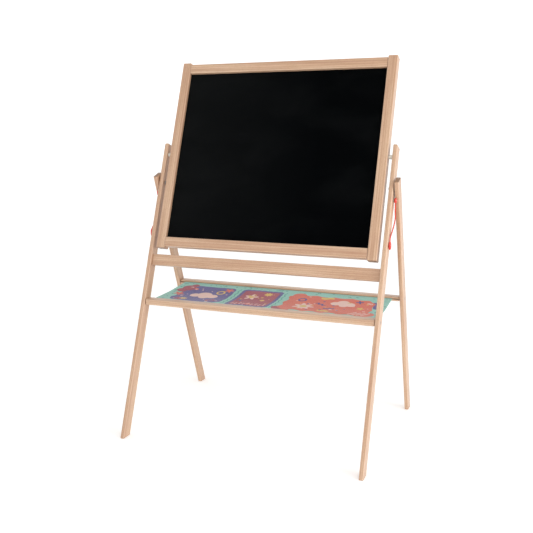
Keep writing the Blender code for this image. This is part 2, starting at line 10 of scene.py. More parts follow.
import bpy
import numpy as np
from bpy.props import FloatProperty, FloatVectorProperty, PointerProperty
from mathutils import Vector
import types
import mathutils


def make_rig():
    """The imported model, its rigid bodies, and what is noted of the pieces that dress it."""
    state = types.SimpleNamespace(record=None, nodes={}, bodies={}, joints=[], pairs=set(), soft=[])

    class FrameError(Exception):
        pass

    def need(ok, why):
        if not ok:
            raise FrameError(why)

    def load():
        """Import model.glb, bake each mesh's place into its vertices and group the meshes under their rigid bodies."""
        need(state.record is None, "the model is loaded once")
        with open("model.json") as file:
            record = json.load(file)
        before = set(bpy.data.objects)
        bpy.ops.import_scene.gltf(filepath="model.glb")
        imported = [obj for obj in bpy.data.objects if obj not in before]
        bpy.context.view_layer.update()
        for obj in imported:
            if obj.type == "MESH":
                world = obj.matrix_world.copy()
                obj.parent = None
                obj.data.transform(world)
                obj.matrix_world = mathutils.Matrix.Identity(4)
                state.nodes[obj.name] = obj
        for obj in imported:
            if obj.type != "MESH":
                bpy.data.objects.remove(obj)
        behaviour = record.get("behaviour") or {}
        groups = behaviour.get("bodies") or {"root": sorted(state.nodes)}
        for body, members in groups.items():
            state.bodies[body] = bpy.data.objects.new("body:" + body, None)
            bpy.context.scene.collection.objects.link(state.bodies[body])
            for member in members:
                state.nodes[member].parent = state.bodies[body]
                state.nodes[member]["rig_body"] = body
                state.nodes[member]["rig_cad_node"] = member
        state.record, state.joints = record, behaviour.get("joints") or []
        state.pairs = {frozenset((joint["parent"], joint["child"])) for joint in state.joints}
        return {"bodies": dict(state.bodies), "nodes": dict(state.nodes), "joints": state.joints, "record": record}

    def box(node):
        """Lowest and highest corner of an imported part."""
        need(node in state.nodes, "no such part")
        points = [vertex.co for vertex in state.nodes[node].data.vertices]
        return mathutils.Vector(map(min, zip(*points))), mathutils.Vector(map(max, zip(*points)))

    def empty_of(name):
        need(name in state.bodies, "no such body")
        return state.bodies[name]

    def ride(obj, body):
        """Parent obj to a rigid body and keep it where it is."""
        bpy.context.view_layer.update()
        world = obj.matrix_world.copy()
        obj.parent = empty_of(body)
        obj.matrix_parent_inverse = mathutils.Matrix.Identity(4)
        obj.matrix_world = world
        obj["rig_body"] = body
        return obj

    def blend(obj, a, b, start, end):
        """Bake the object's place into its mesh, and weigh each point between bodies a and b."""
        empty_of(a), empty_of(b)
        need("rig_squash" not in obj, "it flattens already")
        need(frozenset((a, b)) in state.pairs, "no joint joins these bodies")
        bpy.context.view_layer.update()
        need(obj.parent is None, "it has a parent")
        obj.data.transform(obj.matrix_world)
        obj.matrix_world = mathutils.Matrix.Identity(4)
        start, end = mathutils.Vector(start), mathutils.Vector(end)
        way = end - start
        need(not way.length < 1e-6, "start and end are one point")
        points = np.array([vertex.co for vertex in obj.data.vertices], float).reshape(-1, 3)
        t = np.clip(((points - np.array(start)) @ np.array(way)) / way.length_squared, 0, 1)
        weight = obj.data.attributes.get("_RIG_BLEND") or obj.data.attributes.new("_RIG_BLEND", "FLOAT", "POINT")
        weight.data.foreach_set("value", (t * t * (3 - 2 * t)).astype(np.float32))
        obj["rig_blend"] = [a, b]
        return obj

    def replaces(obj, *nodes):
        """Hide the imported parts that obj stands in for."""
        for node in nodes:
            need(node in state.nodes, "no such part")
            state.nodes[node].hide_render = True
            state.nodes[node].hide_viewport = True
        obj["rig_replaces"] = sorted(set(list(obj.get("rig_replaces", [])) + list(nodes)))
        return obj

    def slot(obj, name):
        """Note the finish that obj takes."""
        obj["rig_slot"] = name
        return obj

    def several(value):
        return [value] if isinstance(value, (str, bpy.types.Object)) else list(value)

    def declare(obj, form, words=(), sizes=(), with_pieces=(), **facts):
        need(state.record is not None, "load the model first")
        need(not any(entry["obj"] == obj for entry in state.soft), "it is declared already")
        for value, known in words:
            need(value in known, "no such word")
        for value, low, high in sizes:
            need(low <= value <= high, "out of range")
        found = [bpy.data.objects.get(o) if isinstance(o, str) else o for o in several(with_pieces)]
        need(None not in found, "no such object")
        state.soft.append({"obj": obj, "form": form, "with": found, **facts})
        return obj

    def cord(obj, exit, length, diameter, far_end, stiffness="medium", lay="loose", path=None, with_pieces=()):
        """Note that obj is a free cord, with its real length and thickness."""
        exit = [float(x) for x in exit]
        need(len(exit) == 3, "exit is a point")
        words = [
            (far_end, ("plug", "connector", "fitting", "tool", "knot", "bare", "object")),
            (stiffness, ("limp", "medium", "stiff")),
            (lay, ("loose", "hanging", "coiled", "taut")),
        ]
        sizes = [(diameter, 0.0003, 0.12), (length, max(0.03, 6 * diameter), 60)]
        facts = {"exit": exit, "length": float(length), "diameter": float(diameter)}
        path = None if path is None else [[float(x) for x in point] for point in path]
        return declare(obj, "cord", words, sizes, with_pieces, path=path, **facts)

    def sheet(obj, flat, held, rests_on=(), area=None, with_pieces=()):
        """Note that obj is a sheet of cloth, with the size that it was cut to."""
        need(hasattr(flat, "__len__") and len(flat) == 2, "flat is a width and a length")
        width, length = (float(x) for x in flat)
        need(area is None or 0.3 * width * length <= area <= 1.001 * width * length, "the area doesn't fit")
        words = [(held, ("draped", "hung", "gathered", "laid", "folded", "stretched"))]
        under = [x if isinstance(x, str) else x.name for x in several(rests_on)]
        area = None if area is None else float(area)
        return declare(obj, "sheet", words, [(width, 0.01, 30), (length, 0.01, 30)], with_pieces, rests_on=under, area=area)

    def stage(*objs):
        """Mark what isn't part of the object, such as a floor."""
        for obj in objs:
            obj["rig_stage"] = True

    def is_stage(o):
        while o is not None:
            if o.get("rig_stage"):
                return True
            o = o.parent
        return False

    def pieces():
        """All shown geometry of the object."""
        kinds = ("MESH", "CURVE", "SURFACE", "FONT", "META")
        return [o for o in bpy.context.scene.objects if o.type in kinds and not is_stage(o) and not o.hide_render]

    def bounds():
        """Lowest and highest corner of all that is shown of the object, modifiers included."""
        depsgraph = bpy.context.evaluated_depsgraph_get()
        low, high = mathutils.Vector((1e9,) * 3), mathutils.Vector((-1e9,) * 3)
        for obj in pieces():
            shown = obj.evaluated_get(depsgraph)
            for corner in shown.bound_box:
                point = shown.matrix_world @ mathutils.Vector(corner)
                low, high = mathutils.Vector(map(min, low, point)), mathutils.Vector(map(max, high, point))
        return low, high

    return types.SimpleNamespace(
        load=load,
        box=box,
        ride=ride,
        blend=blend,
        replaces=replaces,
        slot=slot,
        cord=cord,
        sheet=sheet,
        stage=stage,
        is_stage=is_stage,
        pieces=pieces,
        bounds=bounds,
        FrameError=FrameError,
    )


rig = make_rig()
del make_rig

bl_info = {
    "name": "Kids easel",
    "version": (1, 0, 0),
    "blender": (4, 5, 0),
    "location": "View3D > Sidebar > Easel",
    "description": "Builds a folding beech easel with a two-sided board, a printed tray and stay cords",
    "category": "Add Mesh",
}

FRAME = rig.load()
CAD_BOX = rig.bounds()
JOINTS = {joint["name"]: joint for joint in FRAME["joints"]}
PIVOT = np.array(JOINTS["board_turn"]["pos_m"])
HINGE = np.array(JOINTS["rear_legs_fold"]["pos_m"])
X, Y, Z = np.eye(3)
SIDES = {"left": -1, "right": 1}
SIZE_FILE = "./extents.json"


def linear(hex_colour):
    """An sRGB hex colour as linear red, green, blue and alpha."""
    srgb = np.array([int(hex_colour[i:i + 2], 16) for i in (1, 3, 5)]) / 255
    return (*np.where(srgb <= 0.04045, srgb / 12.92, ((srgb + 0.055) / 1.055) ** 2.4).tolist(), 1.0)


def colour(name, hex_colour, description):
    return FloatVectorProperty(
        name=name, description=description, default=linear(hex_colour), subtype="COLOR", size=4, min=0,
        max=1)


def length(name, metres, description):
    return FloatProperty(
        name=name, description=description, default=metres, unit="LENGTH", subtype="DISTANCE", min=0,
        precision=4)


# ---------------------------------------------------------------- sizes and colours


class EaselTimber(bpy.types.PropertyGroup):
    """Sizes of the sticks, and the colours of the beech."""
    leg_width: length("Leg width", 0.014, "Leg stock, across the easel")
    leg_depth: length("Leg depth", 0.037, "Leg stock, front to back")
    leg_rounding: length("Leg rounding", 0.0035, "Radius along the legs' edges")
    front_leg: length("Front leg", 0.982, "Floor to the top of a front leg, along the leg")
    past_hinge: length("Past the hinge", 0.030, "How far a rear leg runs past its hinge")
    cross_rail_width: length("Cross rail width", 0.037, "Width of the flat rail under the board")
    cross_rail_thickness: length("Cross rail thickness", 0.018, "Thickness of the flat rail under the board")
    cross_rail_top: length("Cross rail top", 0.6008,
                           "Floor to the cross rail's top edge, along the front leg")
    pale: colour("Pale beech", "#d8b99b", "The wood between the growth rings")
    dark: colour("Dark beech", "#b98f70", "The dense edge of each growth ring")
    heart: colour("Heartwood", "#ab7d60", "Reddish bands nearer the middle of the tree")
    fleck: colour("Ray fleck", "#9c7052", "The short dashes that mark beech")
    end: colour("End grain", "#a07a5a", "Cut ends, which soak up more lacquer")


class EaselBoard(bpy.types.PropertyGroup):
    """The board's frame and its two writing faces."""
    width: length("Width", 0.742, "Across the stiles")
    height: length("Height", 0.648, "Length of a stile")
    thickness: length("Thickness", 0.031, "Stiles and rails, front to back")
    stile_width: length("Stile width", 0.030, "Across one stile")
    rail_width: length("Rail width", 0.0315, "Across the top or the bottom rail")
    rail_inset: length("Rail inset", 0.006, "How far the stile ends stand past the rails")
    rounding: length("Edge rounding", 0.0025, "Radius along the edges")
    slate: colour("Chalk face", "#030405", "Matt chalkboard paint")
    white: colour("Pen face", "#f1f3f1", "Glossy melamine")


class EaselTray(bpy.types.PropertyGroup):
    """The tray's two rails and its cloth."""
    front_height: length("Front rail height", 0.4165, "Floor to the middle of the front rail")
    rear_height: length("Rear rail height", 0.4320, "Floor to the middle of the rear rail")
    rail_depth: length("Rail depth", 0.034, "Rails, front to back")
    front_thickness: length("Front rail thickness", 0.020, "Front rail, up and down")
    rear_thickness: length("Rear rail thickness", 0.015, "Rear rail, up and down")
    rounding: length("Rail rounding", 0.005, "Radius along the rails' edges and ends")
    cloth_width: length("Cloth width", 0.756, "Across the tray")
    cloth_thickness: length("Cloth thickness", 0.0011, "One layer of canvas")
    sag: length("Sag", 0.007, "How far the cloth hangs below its rails")
    ground: colour("Ground", "#93cabd", "The cloth between the printed panels")
    deep_teal: colour("Deep teal", "#5aa398", "Small marks on the ground")
    violet: colour("Violet", "#655e97", "First panel")
    crimson: colour("Crimson", "#a9505f", "Second panel")
    coral: colour("Coral", "#dc705b", "Third panel")
    blush: colour("Blush", "#ecc9bf", "Petals and clouds")
    yellow: colour("Yellow", "#dfbd66", "Suns and dots")
    ink: colour("Ink", "#57508c", "Line marks over the panels")
    thread: colour("Thread", "#d8ebe4", "Stitching")


class EaselCord(bpy.types.PropertyGroup):
    """The stay cords and their beads."""
    diameter: length("Cord diameter", 0.0036, "Across the braid")
    braid: length("Braid pitch", 0.006, "Length of one crossing of the braid")
    top_bead: length("Top bead", 0.015, "Length of the small bead on the rear leg")
    low_bead: length("Low bead", 0.024, "Length of the long bead beside the front leg")
    red: colour("Cord red", "#e8452c", "Polyester braid")
    bead_red: colour("Bead red", "#e23a24", "Lacquered wood")


class EaselFixings(bpy.types.PropertyGroup):
    """Bolts, screws, washers and spacers."""
    bolt_head: length("Bolt head", 0.0065, "Radius of a hinge bolt's head")
    socket: length("Socket", 0.0022, "Middle to flat of a bolt's hexagon socket")
    screw_head: length("Screw head", 0.0036, "Radius of a tray screw's head")
    washer: length("Washer", 0.009, "Radius of a hinge washer")
    spacer: length("Spacer", 0.0065, "Radius of a pivot spacer")
    steel: colour("Zinc", "#b9bdbf", "Zinc-plated steel")
    nylon: colour("Nylon", "#e4e1d8", "Moulded nylon")


class EaselStage(bpy.types.PropertyGroup):
    """The floor, the lights and the camera."""
    floor: colour("Floor", "#fbfbfa", "Paper sweep")
    glow: FloatProperty(name="Glow", description="How far the paper is lit from behind", default=0.27, min=0)
    key_power: FloatProperty(name="Key", description="Soft light from the right", default=32, min=0,
                             unit="POWER")
    fill_power: FloatProperty(name="Fill", description="Soft light from the front right", default=11, min=0,
                              unit="POWER")
    top_power: FloatProperty(name="Top", description="Soft light from above", default=8, min=0, unit="POWER")
    room: FloatProperty(name="Room", description="Even light from all round", default=0.52, min=0)
    camera_place: FloatVectorProperty(
        name="Camera", description="Where the camera stands", default=(0.8378, -2.1654, 0.9512),
        subtype="TRANSLATION", unit="LENGTH")
    camera_turn: FloatVectorProperty(
        name="Camera turn", description="How the camera is turned", subtype="EULER",
        default=np.radians((79.80, 0, 21.53)).tolist())
    lens: FloatProperty(name="Lens", description="Focal length in millimetres", default=48.72, min=10,
                        unit="CAMERA")


SETTINGS = {
    "easel_timber": EaselTimber, "easel_board": EaselBoard, "easel_tray": EaselTray,
    "easel_cord": EaselCord, "easel_fixings": EaselFixings, "easel_stage": EaselStage,
}


# ---------------------------------------------------------------- mesh helpers


def make_piece(name, points, faces, material, body=None, stands_for=(), slot=None, smooth=35.0,
               **attributes):
    """A mesh object from arrays of points and lists of faces, riding on its body in place of its CAD
    nodes. Each further keyword is stored as an attribute with one value per point."""
    mesh = bpy.data.meshes.new(name)
    mesh.from_pydata(np.asarray(points, float).reshape(-1, 3).tolist(), [], faces)
    for key, values in attributes.items():
        values = np.asarray(values, np.float32)
        vector = values.ndim > 1
        store = mesh.attributes.new(key, "FLOAT_VECTOR" if vector else "FLOAT", "POINT")
        store.data.foreach_set("vector" if vector else "value", values.ravel())
    mesh.materials.append(material)
    mesh.shade_smooth()
    mesh.set_sharp_from_angle(angle=np.radians(smooth))
    piece = bpy.data.objects.new(name, mesh)
    bpy.context.scene.collection.objects.link(piece)
    if body:
        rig.ride(piece, body)
    if stands_for:
        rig.replaces(piece, *stands_for)
    if slot:
        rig.slot(piece, slot)
    return piece


def quads(rings, across, closed=True):
    """Faces of a grid of rings by across points, numbered ring by ring; closed joins the last point
    of each ring to its first."""
    ring, step = np.meshgrid(np.arange(rings - 1), np.arange(across if closed else across - 1),
                             indexing="ij")
    here, after = ring * across + step, ring * across + (step + 1) % across
    return np.stack([here, after, after + across, here + across], -1).reshape(-1, 4)


def end_caps(rings, across):
    """The two faces that close a tube of rings by across points."""
    return [list(range(across))[::-1], [(rings - 1) * across + i for i in range(across)]]


def unit(vectors):
    return vectors / np.linalg.norm(vectors, axis=-1, keepdims=True)


def smoothstep(values, low, high):
    """0 below low, 1 above high, and an S-curve 3t^2 - 2t^3 between them."""
    t = np.clip((values - low) / (high - low), 0, 1)
    return t * t * (3 - 2 * t)


class Lean:
    """A leaning side of the easel: up runs along the leg, back is square to it."""

    def __init__(self, foot_y, top):
        rise = np.array(top) - (0, foot_y, 0)
        self.foot = np.array((0, foot_y, 0.0))
        self.up = unit(rise * (0, 1, 1))
        self.back = np.cross(self.up, X)
        self.slope = self.up[1] / self.up[2]

    def at(self, x, up, back=0.0):
        return self.foot + X * x + self.up * up + self.back * back


def leans():
    """The front and the rear lean: each runs from the middle of its feet through the hinge line."""
    found = []
    for node in ("front_leg_right", "rear_leg_right"):
        points = np.array([v.co for v in FRAME["nodes"][node].data.vertices])
        feet = points[points[:, 2] < 1e-4]
        found.append(Lean((feet[:, 1].min() + feet[:, 1].max()) / 2, HINGE))
    return found


FRONT, REAR = leans()


def timber_profile(width, depth, radius, groove=None, steps=4):
    """A rectangle, width by depth, whose corners are quarter circles of steps arcs each, with a
    supporting point on each flat beside every corner. groove = (half mouth, depth, half slot) cuts a
    keyhole into the +width flat. Returns points, outward normals, how far each point is on a corner,
    closed points with no groove, and the index where the +width flat starts."""
    half = np.array((width, depth)) / 2
    points, normals, corner = [], [], []
    lead = min(0.0012, (min(half) - radius) / 2)
    turn = np.linspace(0, np.pi / 2, steps + 1)
    for k, (sx, sy) in enumerate(((1, -1), (1, 1), (-1, 1), (-1, -1))):
        angle = turn + (k - 1) * np.pi / 2
        spoke = np.stack([np.cos(angle), np.sin(angle)], 1)
        core = (half - radius) * (sx, sy)
        first, last = spoke[0], spoke[-1]
        along_first = np.array((-first[1], first[0]))
        along_last = np.array((-last[1], last[0]))
        points.append(core + radius * first - lead * along_first)
        points += [*(core + radius * spoke), core + radius * last + lead * along_last]
        normals += [first, *spoke, last]
        corner += [0, *np.sin(2 * turn), 0]
    flat = steps + 2
    points, normals, corner = np.array(points), np.array(normals), np.array(corner)
    closed = points
    if groove:
        mouth, deep, slot = groove
        open_in = half[0] - deep
        if slot > mouth:
            # The round slot, from the mouth's lower lip round the bottom to its upper lip.
            lip = np.arcsin(mouth / slot)
            swing = np.linspace(lip, 2 * np.pi - lip, 9)
            bottom = np.stack([open_in + slot * np.cos(swing), -slot * np.sin(swing)], 1)
        else:
            bottom = np.array([(open_in, -mouth), (open_in, mouth)])
        cut = np.array([(half[0], -mouth), *bottom, (half[0], mouth)])
        shut = np.stack([np.full(len(cut), half[0]), np.linspace(-mouth, mouth, len(cut))], 1)
        points = np.insert(points, flat + 1, cut, 0)
        closed = np.insert(closed, flat + 1, shut, 0)
        normals = np.insert(normals, flat + 1, np.tile((1.0, 0.0), (len(cut), 1)), 0)
        corner = np.insert(corner, flat + 1, np.zeros(len(cut)))
    return points, normals, corner, closed, flat


def bar(name, origin, across, along, profile, start, end, soften, seed, body, node, foot=0.0,
        groove_between=None, hole=None, top_cut=0.0):
    """A stick of beech: the profile carried along a line, P = origin + across u + second v + along s.
    The last rings close in on a quarter circle of radius soften. foot tilts the first rings by
    s += foot v, so that the stick stands level. groove_between = (s0, s1) opens the groove only there.
    hole = (s, v, radius, depth, bottom radius) sinks a countersunk hole into the +across flat.
    top_cut rounds the outer corner of the top. Stores the grain's own coordinates (u, v, s, moved by a
    seeded offset), 'end_grain' from 0 to 1 towards the cut ends, and an edge value, 1 on the rounded
    edges, where the beech is painted paler as a painted highlight."""
    points, normals, corner, closed, flat = profile
    second = np.cross(along, across)
    turn = np.linspace(0, np.pi / 2, 5)
    inset, step = soften * (1 - np.sin(turn)), soften * (1 - np.cos(turn))
    rings = [(start + a, i, 1.0, np.cos(t)) for a, i, t in zip(step, inset, turn)]
    rings += [(end - a, i, 0.0, np.cos(t)) for a, i, t in zip(step, inset, turn)]
    # A supporting ring inside each softened end, and one where the foot's tilt is over.
    support, untilted, step_in_groove = 0.0006, 0.03, 5e-5
    rings += [(start + soften + support, 0, 1.0, 0), (end - soften - support, 0, 0.0, 0)]
    if foot:
        rings.append((start + untilted, 0, 0.0, 0))
    if groove_between:
        rings += [(g + d, 0, 0.0, 0) for g in groove_between for d in (-step_in_groove, step_in_groove)]
    if hole:
        patch = 1.6 * hole[2]
        rings += [(hole[0] + d, 0, 0.0, 0) for d in (-patch, patch)]
    rings = np.array(sorted(rings))
    s, inset, shear, endness = rings.T
    opened = np.ones(len(s))
    if groove_between:
        opened = ((s > groove_between[0]) & (s < groove_between[1])) * 1.0
    shape = closed + (points - closed) * opened[:, None, None]
    shape = shape - normals * inset[:, None, None]
    run = s[:, None] + foot * shear[:, None] * shape[:, :, 1]
    if top_cut:
        outer = smoothstep(shape[:, :, 0], points[:, 0].max() - 2.2 * top_cut, points[:, 0].max())
        run = run - top_cut * outer ** 2 * (s > end - 0.01)[:, None]
    place = origin + shape[..., :1] * across + shape[..., 1:] * second + run[..., None] * along
    n = len(points)
    faces = quads(len(s), n).tolist()
    sides, extra = 24, []
    if hole:
        at, v, radius, deep, bottom = hole
        k = int(np.argmin(abs(s - (at - patch))))
        a, b = k * n + flat, k * n + flat + 1
        faces.remove([a, b, b + n, a + n])
        angle = np.radians(-135) + np.arange(sides) * 2 * np.pi / sides
        ring = np.stack([np.cos(angle), np.sin(angle)], 1)
        top = points[flat, 0]
        for size, down in ((radius, 0), (radius, 0.0004), (bottom, deep)):
            extra.append(origin + (top - down) * across + (v + size * ring[:, :1]) * second
                         + (at + size * ring[:, 1:]) * along)
        base, quarter = len(s) * n, sides // 4
        for q, (p0, p1) in enumerate(((a, b), (b, b + n), (b + n, a + n), (a + n, a))):
            rim = range(quarter * (q + 1), quarter * q - 1, -1)
            faces.append([p0, p1] + [base + i % sides for i in rim])
        faces += (quads(3, sides) + base).tolist()
        faces.append([base + 2 * sides + i for i in range(sides)])
    faces += end_caps(len(s), n)
    offset = np.random.default_rng(seed).uniform((0.03, 0.03, -3), (0.07, 0.07, 3))
    grain = np.concatenate([shape, run[..., None]], 2).reshape(-1, 3) + offset
    # Painted highlight: strongest halfway round each softened end, as on the profile's rounded corners.
    rubbed = endness * np.sqrt(1 - np.minimum(endness, 1) ** 2) * 2
    worn = np.maximum(corner[None, :], rubbed[:, None]).ravel()
    ends = np.repeat(endness, n)
    if extra:
        extra = np.concatenate(extra)
        local = extra - origin
        local = np.stack([local @ across, local @ second, local @ along], 1)
        grain = np.concatenate([grain, local + offset])
        worn = np.concatenate([worn, np.zeros(3 * sides)])
        ends = np.concatenate([ends, np.repeat((0.2, 0.9, 1.0), sides)])
        place = np.concatenate([place.reshape(-1, 3), extra])
    return make_piece(name, place, faces, material("beech_lacquered"), body, [node], "beech", grain=grain,
                      end_grain=ends, worn=worn)


def turned(name, centre, axis, outline, material_name, body, node, slot, segments=48, reach=None,
           smooth=40.0):
    """A lathe shape: P = centre + axis a + (cos t, sin t) r, for outline points (a, r) that run from
    the low end out, up and back to the axis. reach(t) gives each row's share of r at each angle, for
    rows that aren't round."""
    along, radius = np.array(outline, float).T
    angle = np.linspace(0, 2 * np.pi, segments, endpoint=False)
    side = unit(np.cross(axis, Z if abs(axis[2]) < 0.9 else X))
    other = np.cross(axis, side)
    size = np.repeat(radius[:, None], segments, 1)
    if reach is not None:
        size = size * reach(angle)
    spoke = np.cos(angle)[:, None] * side + np.sin(angle)[:, None] * other
    points = np.asarray(centre) + along[:, None, None] * axis + size[..., None] * spoke
    faces = quads(len(along), segments).tolist() + end_caps(len(along), segments)
    return make_piece(name, points, faces, material(material_name), body, [node], slot, smooth)


# ---------------------------------------------------------------- materials


def add(tree, kind, inputs=None, **settings):
    """Add a node with its settings; each input takes a value, or a link where it is given a socket."""
    node = tree.nodes.new(kind)
    for key, value in settings.items():
        setattr(node, key, value)
    for key, value in (inputs or {}).items():
        if isinstance(value, bpy.types.NodeSocket):
            tree.links.new(value, node.inputs[key])
        else:
            node.inputs[key].default_value = value
    return node


def new_material(name, **shader):
    """A material with one Principled shader whose plain values are set on its own sockets."""
    made = bpy.data.materials.new(name)
    made.use_nodes = True
    tree = made.node_tree
    surface = tree.nodes["Principled BSDF"]
    for key, value in shader.items():
        surface.inputs[key.replace("_", " ").title().replace("Ior", "IOR")].default_value = value
    return made, tree, surface


def beech_lacquered():
    """Sawn and sanded beech under satin lacquer: straight growth rings, reddish bands, short dark ray
    flecks, darker cut ends, and rounded edges painted a little paler as a painted highlight."""
    timber = bpy.context.scene.easel_timber
    made, tree, surface = new_material("beech_lacquered", coat_weight=0.6, coat_roughness=0.32)
    grain = add(tree, "ShaderNodeAttribute", attribute_name="grain").outputs["Vector"]
    ends = add(tree, "ShaderNodeAttribute", attribute_name="end_grain").outputs["Fac"]
    worn = add(tree, "ShaderNodeAttribute", attribute_name="worn").outputs["Fac"]
    # Growth rings 5 mm apart, which is wider than the tree's 2 to 3 mm so that they show.
    slow = add(tree, "ShaderNodeMapping", {"Vector": grain, "Scale": (1, 1, 0.035)}).outputs[0]
    rings = add(tree, "ShaderNodeTexWave", {
        "Vector": slow, "Scale": 62.8, "Distortion": 5.0, "Detail": 2.0, "Detail Scale": 0.35},
        wave_type="RINGS", rings_direction="Z", wave_profile="SAW").outputs["Fac"]
    # Fibre streaks 2 mm wide and 110 mm long.
    stretched = add(tree, "ShaderNodeMapping", {"Vector": grain, "Scale": (480, 480, 9)}).outputs[0]
    fibres = add(tree, "ShaderNodeTexNoise", {
        "Vector": stretched, "Scale": 1.0, "Detail": 3.0, "Roughness": 0.6}).outputs["Fac"]
    # Reddish heartwood bands, some 12 mm wide and 350 mm long.
    band_at = add(tree, "ShaderNodeMapping", {"Vector": grain, "Scale": (85, 85, 2.8)}).outputs[0]
    bands = add(tree, "ShaderNodeTexNoise", {
        "Vector": band_at, "Scale": 1.0, "Detail": 2.0, "Roughness": 0.45}).outputs["Fac"]
    bands = add(tree, "ShaderNodeMapRange", {"Value": bands, "From Min": 0.40, "From Max": 0.68}).outputs[0]
    # Slow drift of tone along a stick, over some 60 by 300 mm.
    drift_at = add(tree, "ShaderNodeMapping", {"Vector": grain, "Scale": (16, 16, 3.4)}).outputs[0]
    drift = add(tree, "ShaderNodeTexNoise", {"Vector": drift_at, "Scale": 1.0, "Detail": 2.0}).outputs["Fac"]
    # Ray flecks: 0.5 by 2.5 mm dashes in cells of 1.7 by 8 mm.
    cells = add(tree, "ShaderNodeMapping", {"Vector": grain, "Scale": (590, 590, 125)}).outputs[0]
    near = add(tree, "ShaderNodeTexVoronoi", {"Vector": cells, "Scale": 1.0}).outputs["Distance"]
    flecks = add(tree, "ShaderNodeMapRange", {
        "Value": near, "From Min": 0.32, "From Max": 0.18, "To Max": 0.5}).outputs[0]
    dark = add(tree, "ShaderNodeMath", {0: rings, 1: 0.42}, operation="MULTIPLY").outputs[0]
    dark = add(tree, "ShaderNodeMath", {0: fibres, 1: 1.0, 2: dark}, operation="MULTIPLY_ADD").outputs[0]
    dark = add(tree, "ShaderNodeMath", {0: drift, 1: 0.9, 2: dark}, operation="MULTIPLY_ADD").outputs[0]
    dark = add(tree, "ShaderNodeMapRange", {"Value": dark, "From Min": 0.75, "From Max": 1.50}).outputs[0]
    base = add(tree, "ShaderNodeMix", {0: dark, 6: timber.pale, 7: timber.dark}, data_type="RGBA").outputs[2]
    heart = add(tree, "ShaderNodeMath", {0: bands, 1: 0.55}, operation="MULTIPLY").outputs[0]
    base = add(tree, "ShaderNodeMix", {0: heart, 6: base, 7: timber.heart}, data_type="RGBA").outputs[2]
    base = add(tree, "ShaderNodeMix", {0: flecks, 6: base, 7: timber.fleck}, data_type="RGBA").outputs[2]
    # Painted highlight: the rounded edges are painted towards a pale, greyish beech.
    rubbed = add(tree, "ShaderNodeMath", {0: worn, 1: 0.28}, operation="MULTIPLY").outputs[0]
    base = add(tree, "ShaderNodeMix", {0: rubbed, 6: base, 7: linear("#e6ccb4")},
               data_type="RGBA").outputs[2]
    cut = add(tree, "ShaderNodeMix", {0: rings, 6: timber.end, 7: linear("#86624a")},
              data_type="RGBA").outputs[2]
    base = add(tree, "ShaderNodeMix", {0: ends, 6: base, 7: cut}, data_type="RGBA").outputs[2]
    tree.links.new(base, surface.inputs["Base Color"])
    rough = add(tree, "ShaderNodeMapRange", {"Value": fibres, "To Min": 0.42, "To Max": 0.60}).outputs[0]
    tree.links.new(rough, surface.inputs["Roughness"])
    relief = add(tree, "ShaderNodeMath", {0: fibres, 1: flecks}, operation="SUBTRACT").outputs[0]
    bump = add(tree, "ShaderNodeBump", {"Height": relief, "Strength": 0.35, "Distance": 0.00015})
    tree.links.new(bump.outputs[0], surface.inputs["Normal"])
    return made


def chalkboard_paint():
    """Rolled matt chalkboard paint: a deep black with a fine grit, a faint trace of chalk in clouds, and
    a painted sheen that lightens it towards the left."""
    board = bpy.context.scene.easel_board
    made, tree, surface = new_material("chalkboard_paint", specular_ior_level=0.01)
    place = add(tree, "ShaderNodeTexCoord").outputs["Object"]
    wiped = add(tree, "ShaderNodeMapping", {"Vector": place, "Scale": (3.5, 9, 9),
                                            "Rotation": (0, 0.5, 0)}).outputs[0]
    clouds = add(tree, "ShaderNodeTexNoise", {
        "Vector": wiped, "Scale": 1.0, "Detail": 5.0, "Roughness": 0.55, "Distortion": 0.6}).outputs["Fac"]
    # Grit 0.6 mm across, and roller texture 3 mm across.
    grit = add(tree, "ShaderNodeTexNoise", {"Vector": place, "Scale": 1600.0, "Detail": 1.0}).outputs["Fac"]
    roller = add(tree, "ShaderNodeTexNoise", {"Vector": place, "Scale": 330.0, "Detail": 2.0}).outputs["Fac"]
    across = add(tree, "ShaderNodeSeparateXYZ", {"Vector": place}).outputs["X"]
    # Painted sheen: the paint grows lighter towards the left of the board, on top of the chalk.
    left = add(tree, "ShaderNodeMapRange", {
        "Value": across, "From Min": 0.15, "From Max": -0.34, "To Min": 0.0, "To Max": 0.0075}).outputs[0]
    dust = add(tree, "ShaderNodeMapRange", {
        "Value": clouds, "From Min": 0.45, "From Max": 0.85, "To Max": 0.006}).outputs[0]
    dust = add(tree, "ShaderNodeMath", {0: dust, 1: left}, operation="ADD").outputs[0]
    base = add(tree, "ShaderNodeMix", {0: dust, 6: board.slate, 7: linear("#b9bcbb")},
               data_type="RGBA").outputs[2]
    tree.links.new(base, surface.inputs["Base Color"])
    rough = add(tree, "ShaderNodeMapRange", {
        "Value": clouds, "From Min": 0.3, "From Max": 0.8, "To Min": 0.62, "To Max": 0.75}).outputs[0]
    tree.links.new(rough, surface.inputs["Roughness"])
    height = add(tree, "ShaderNodeMath", {0: grit, 1: 0.4, 2: roller}, operation="MULTIPLY_ADD").outputs[0]
    bump = add(tree, "ShaderNodeBump", {"Height": height, "Strength": 0.25, "Distance": 0.0002})
    tree.links.new(bump.outputs[0], surface.inputs["Normal"])
    return made


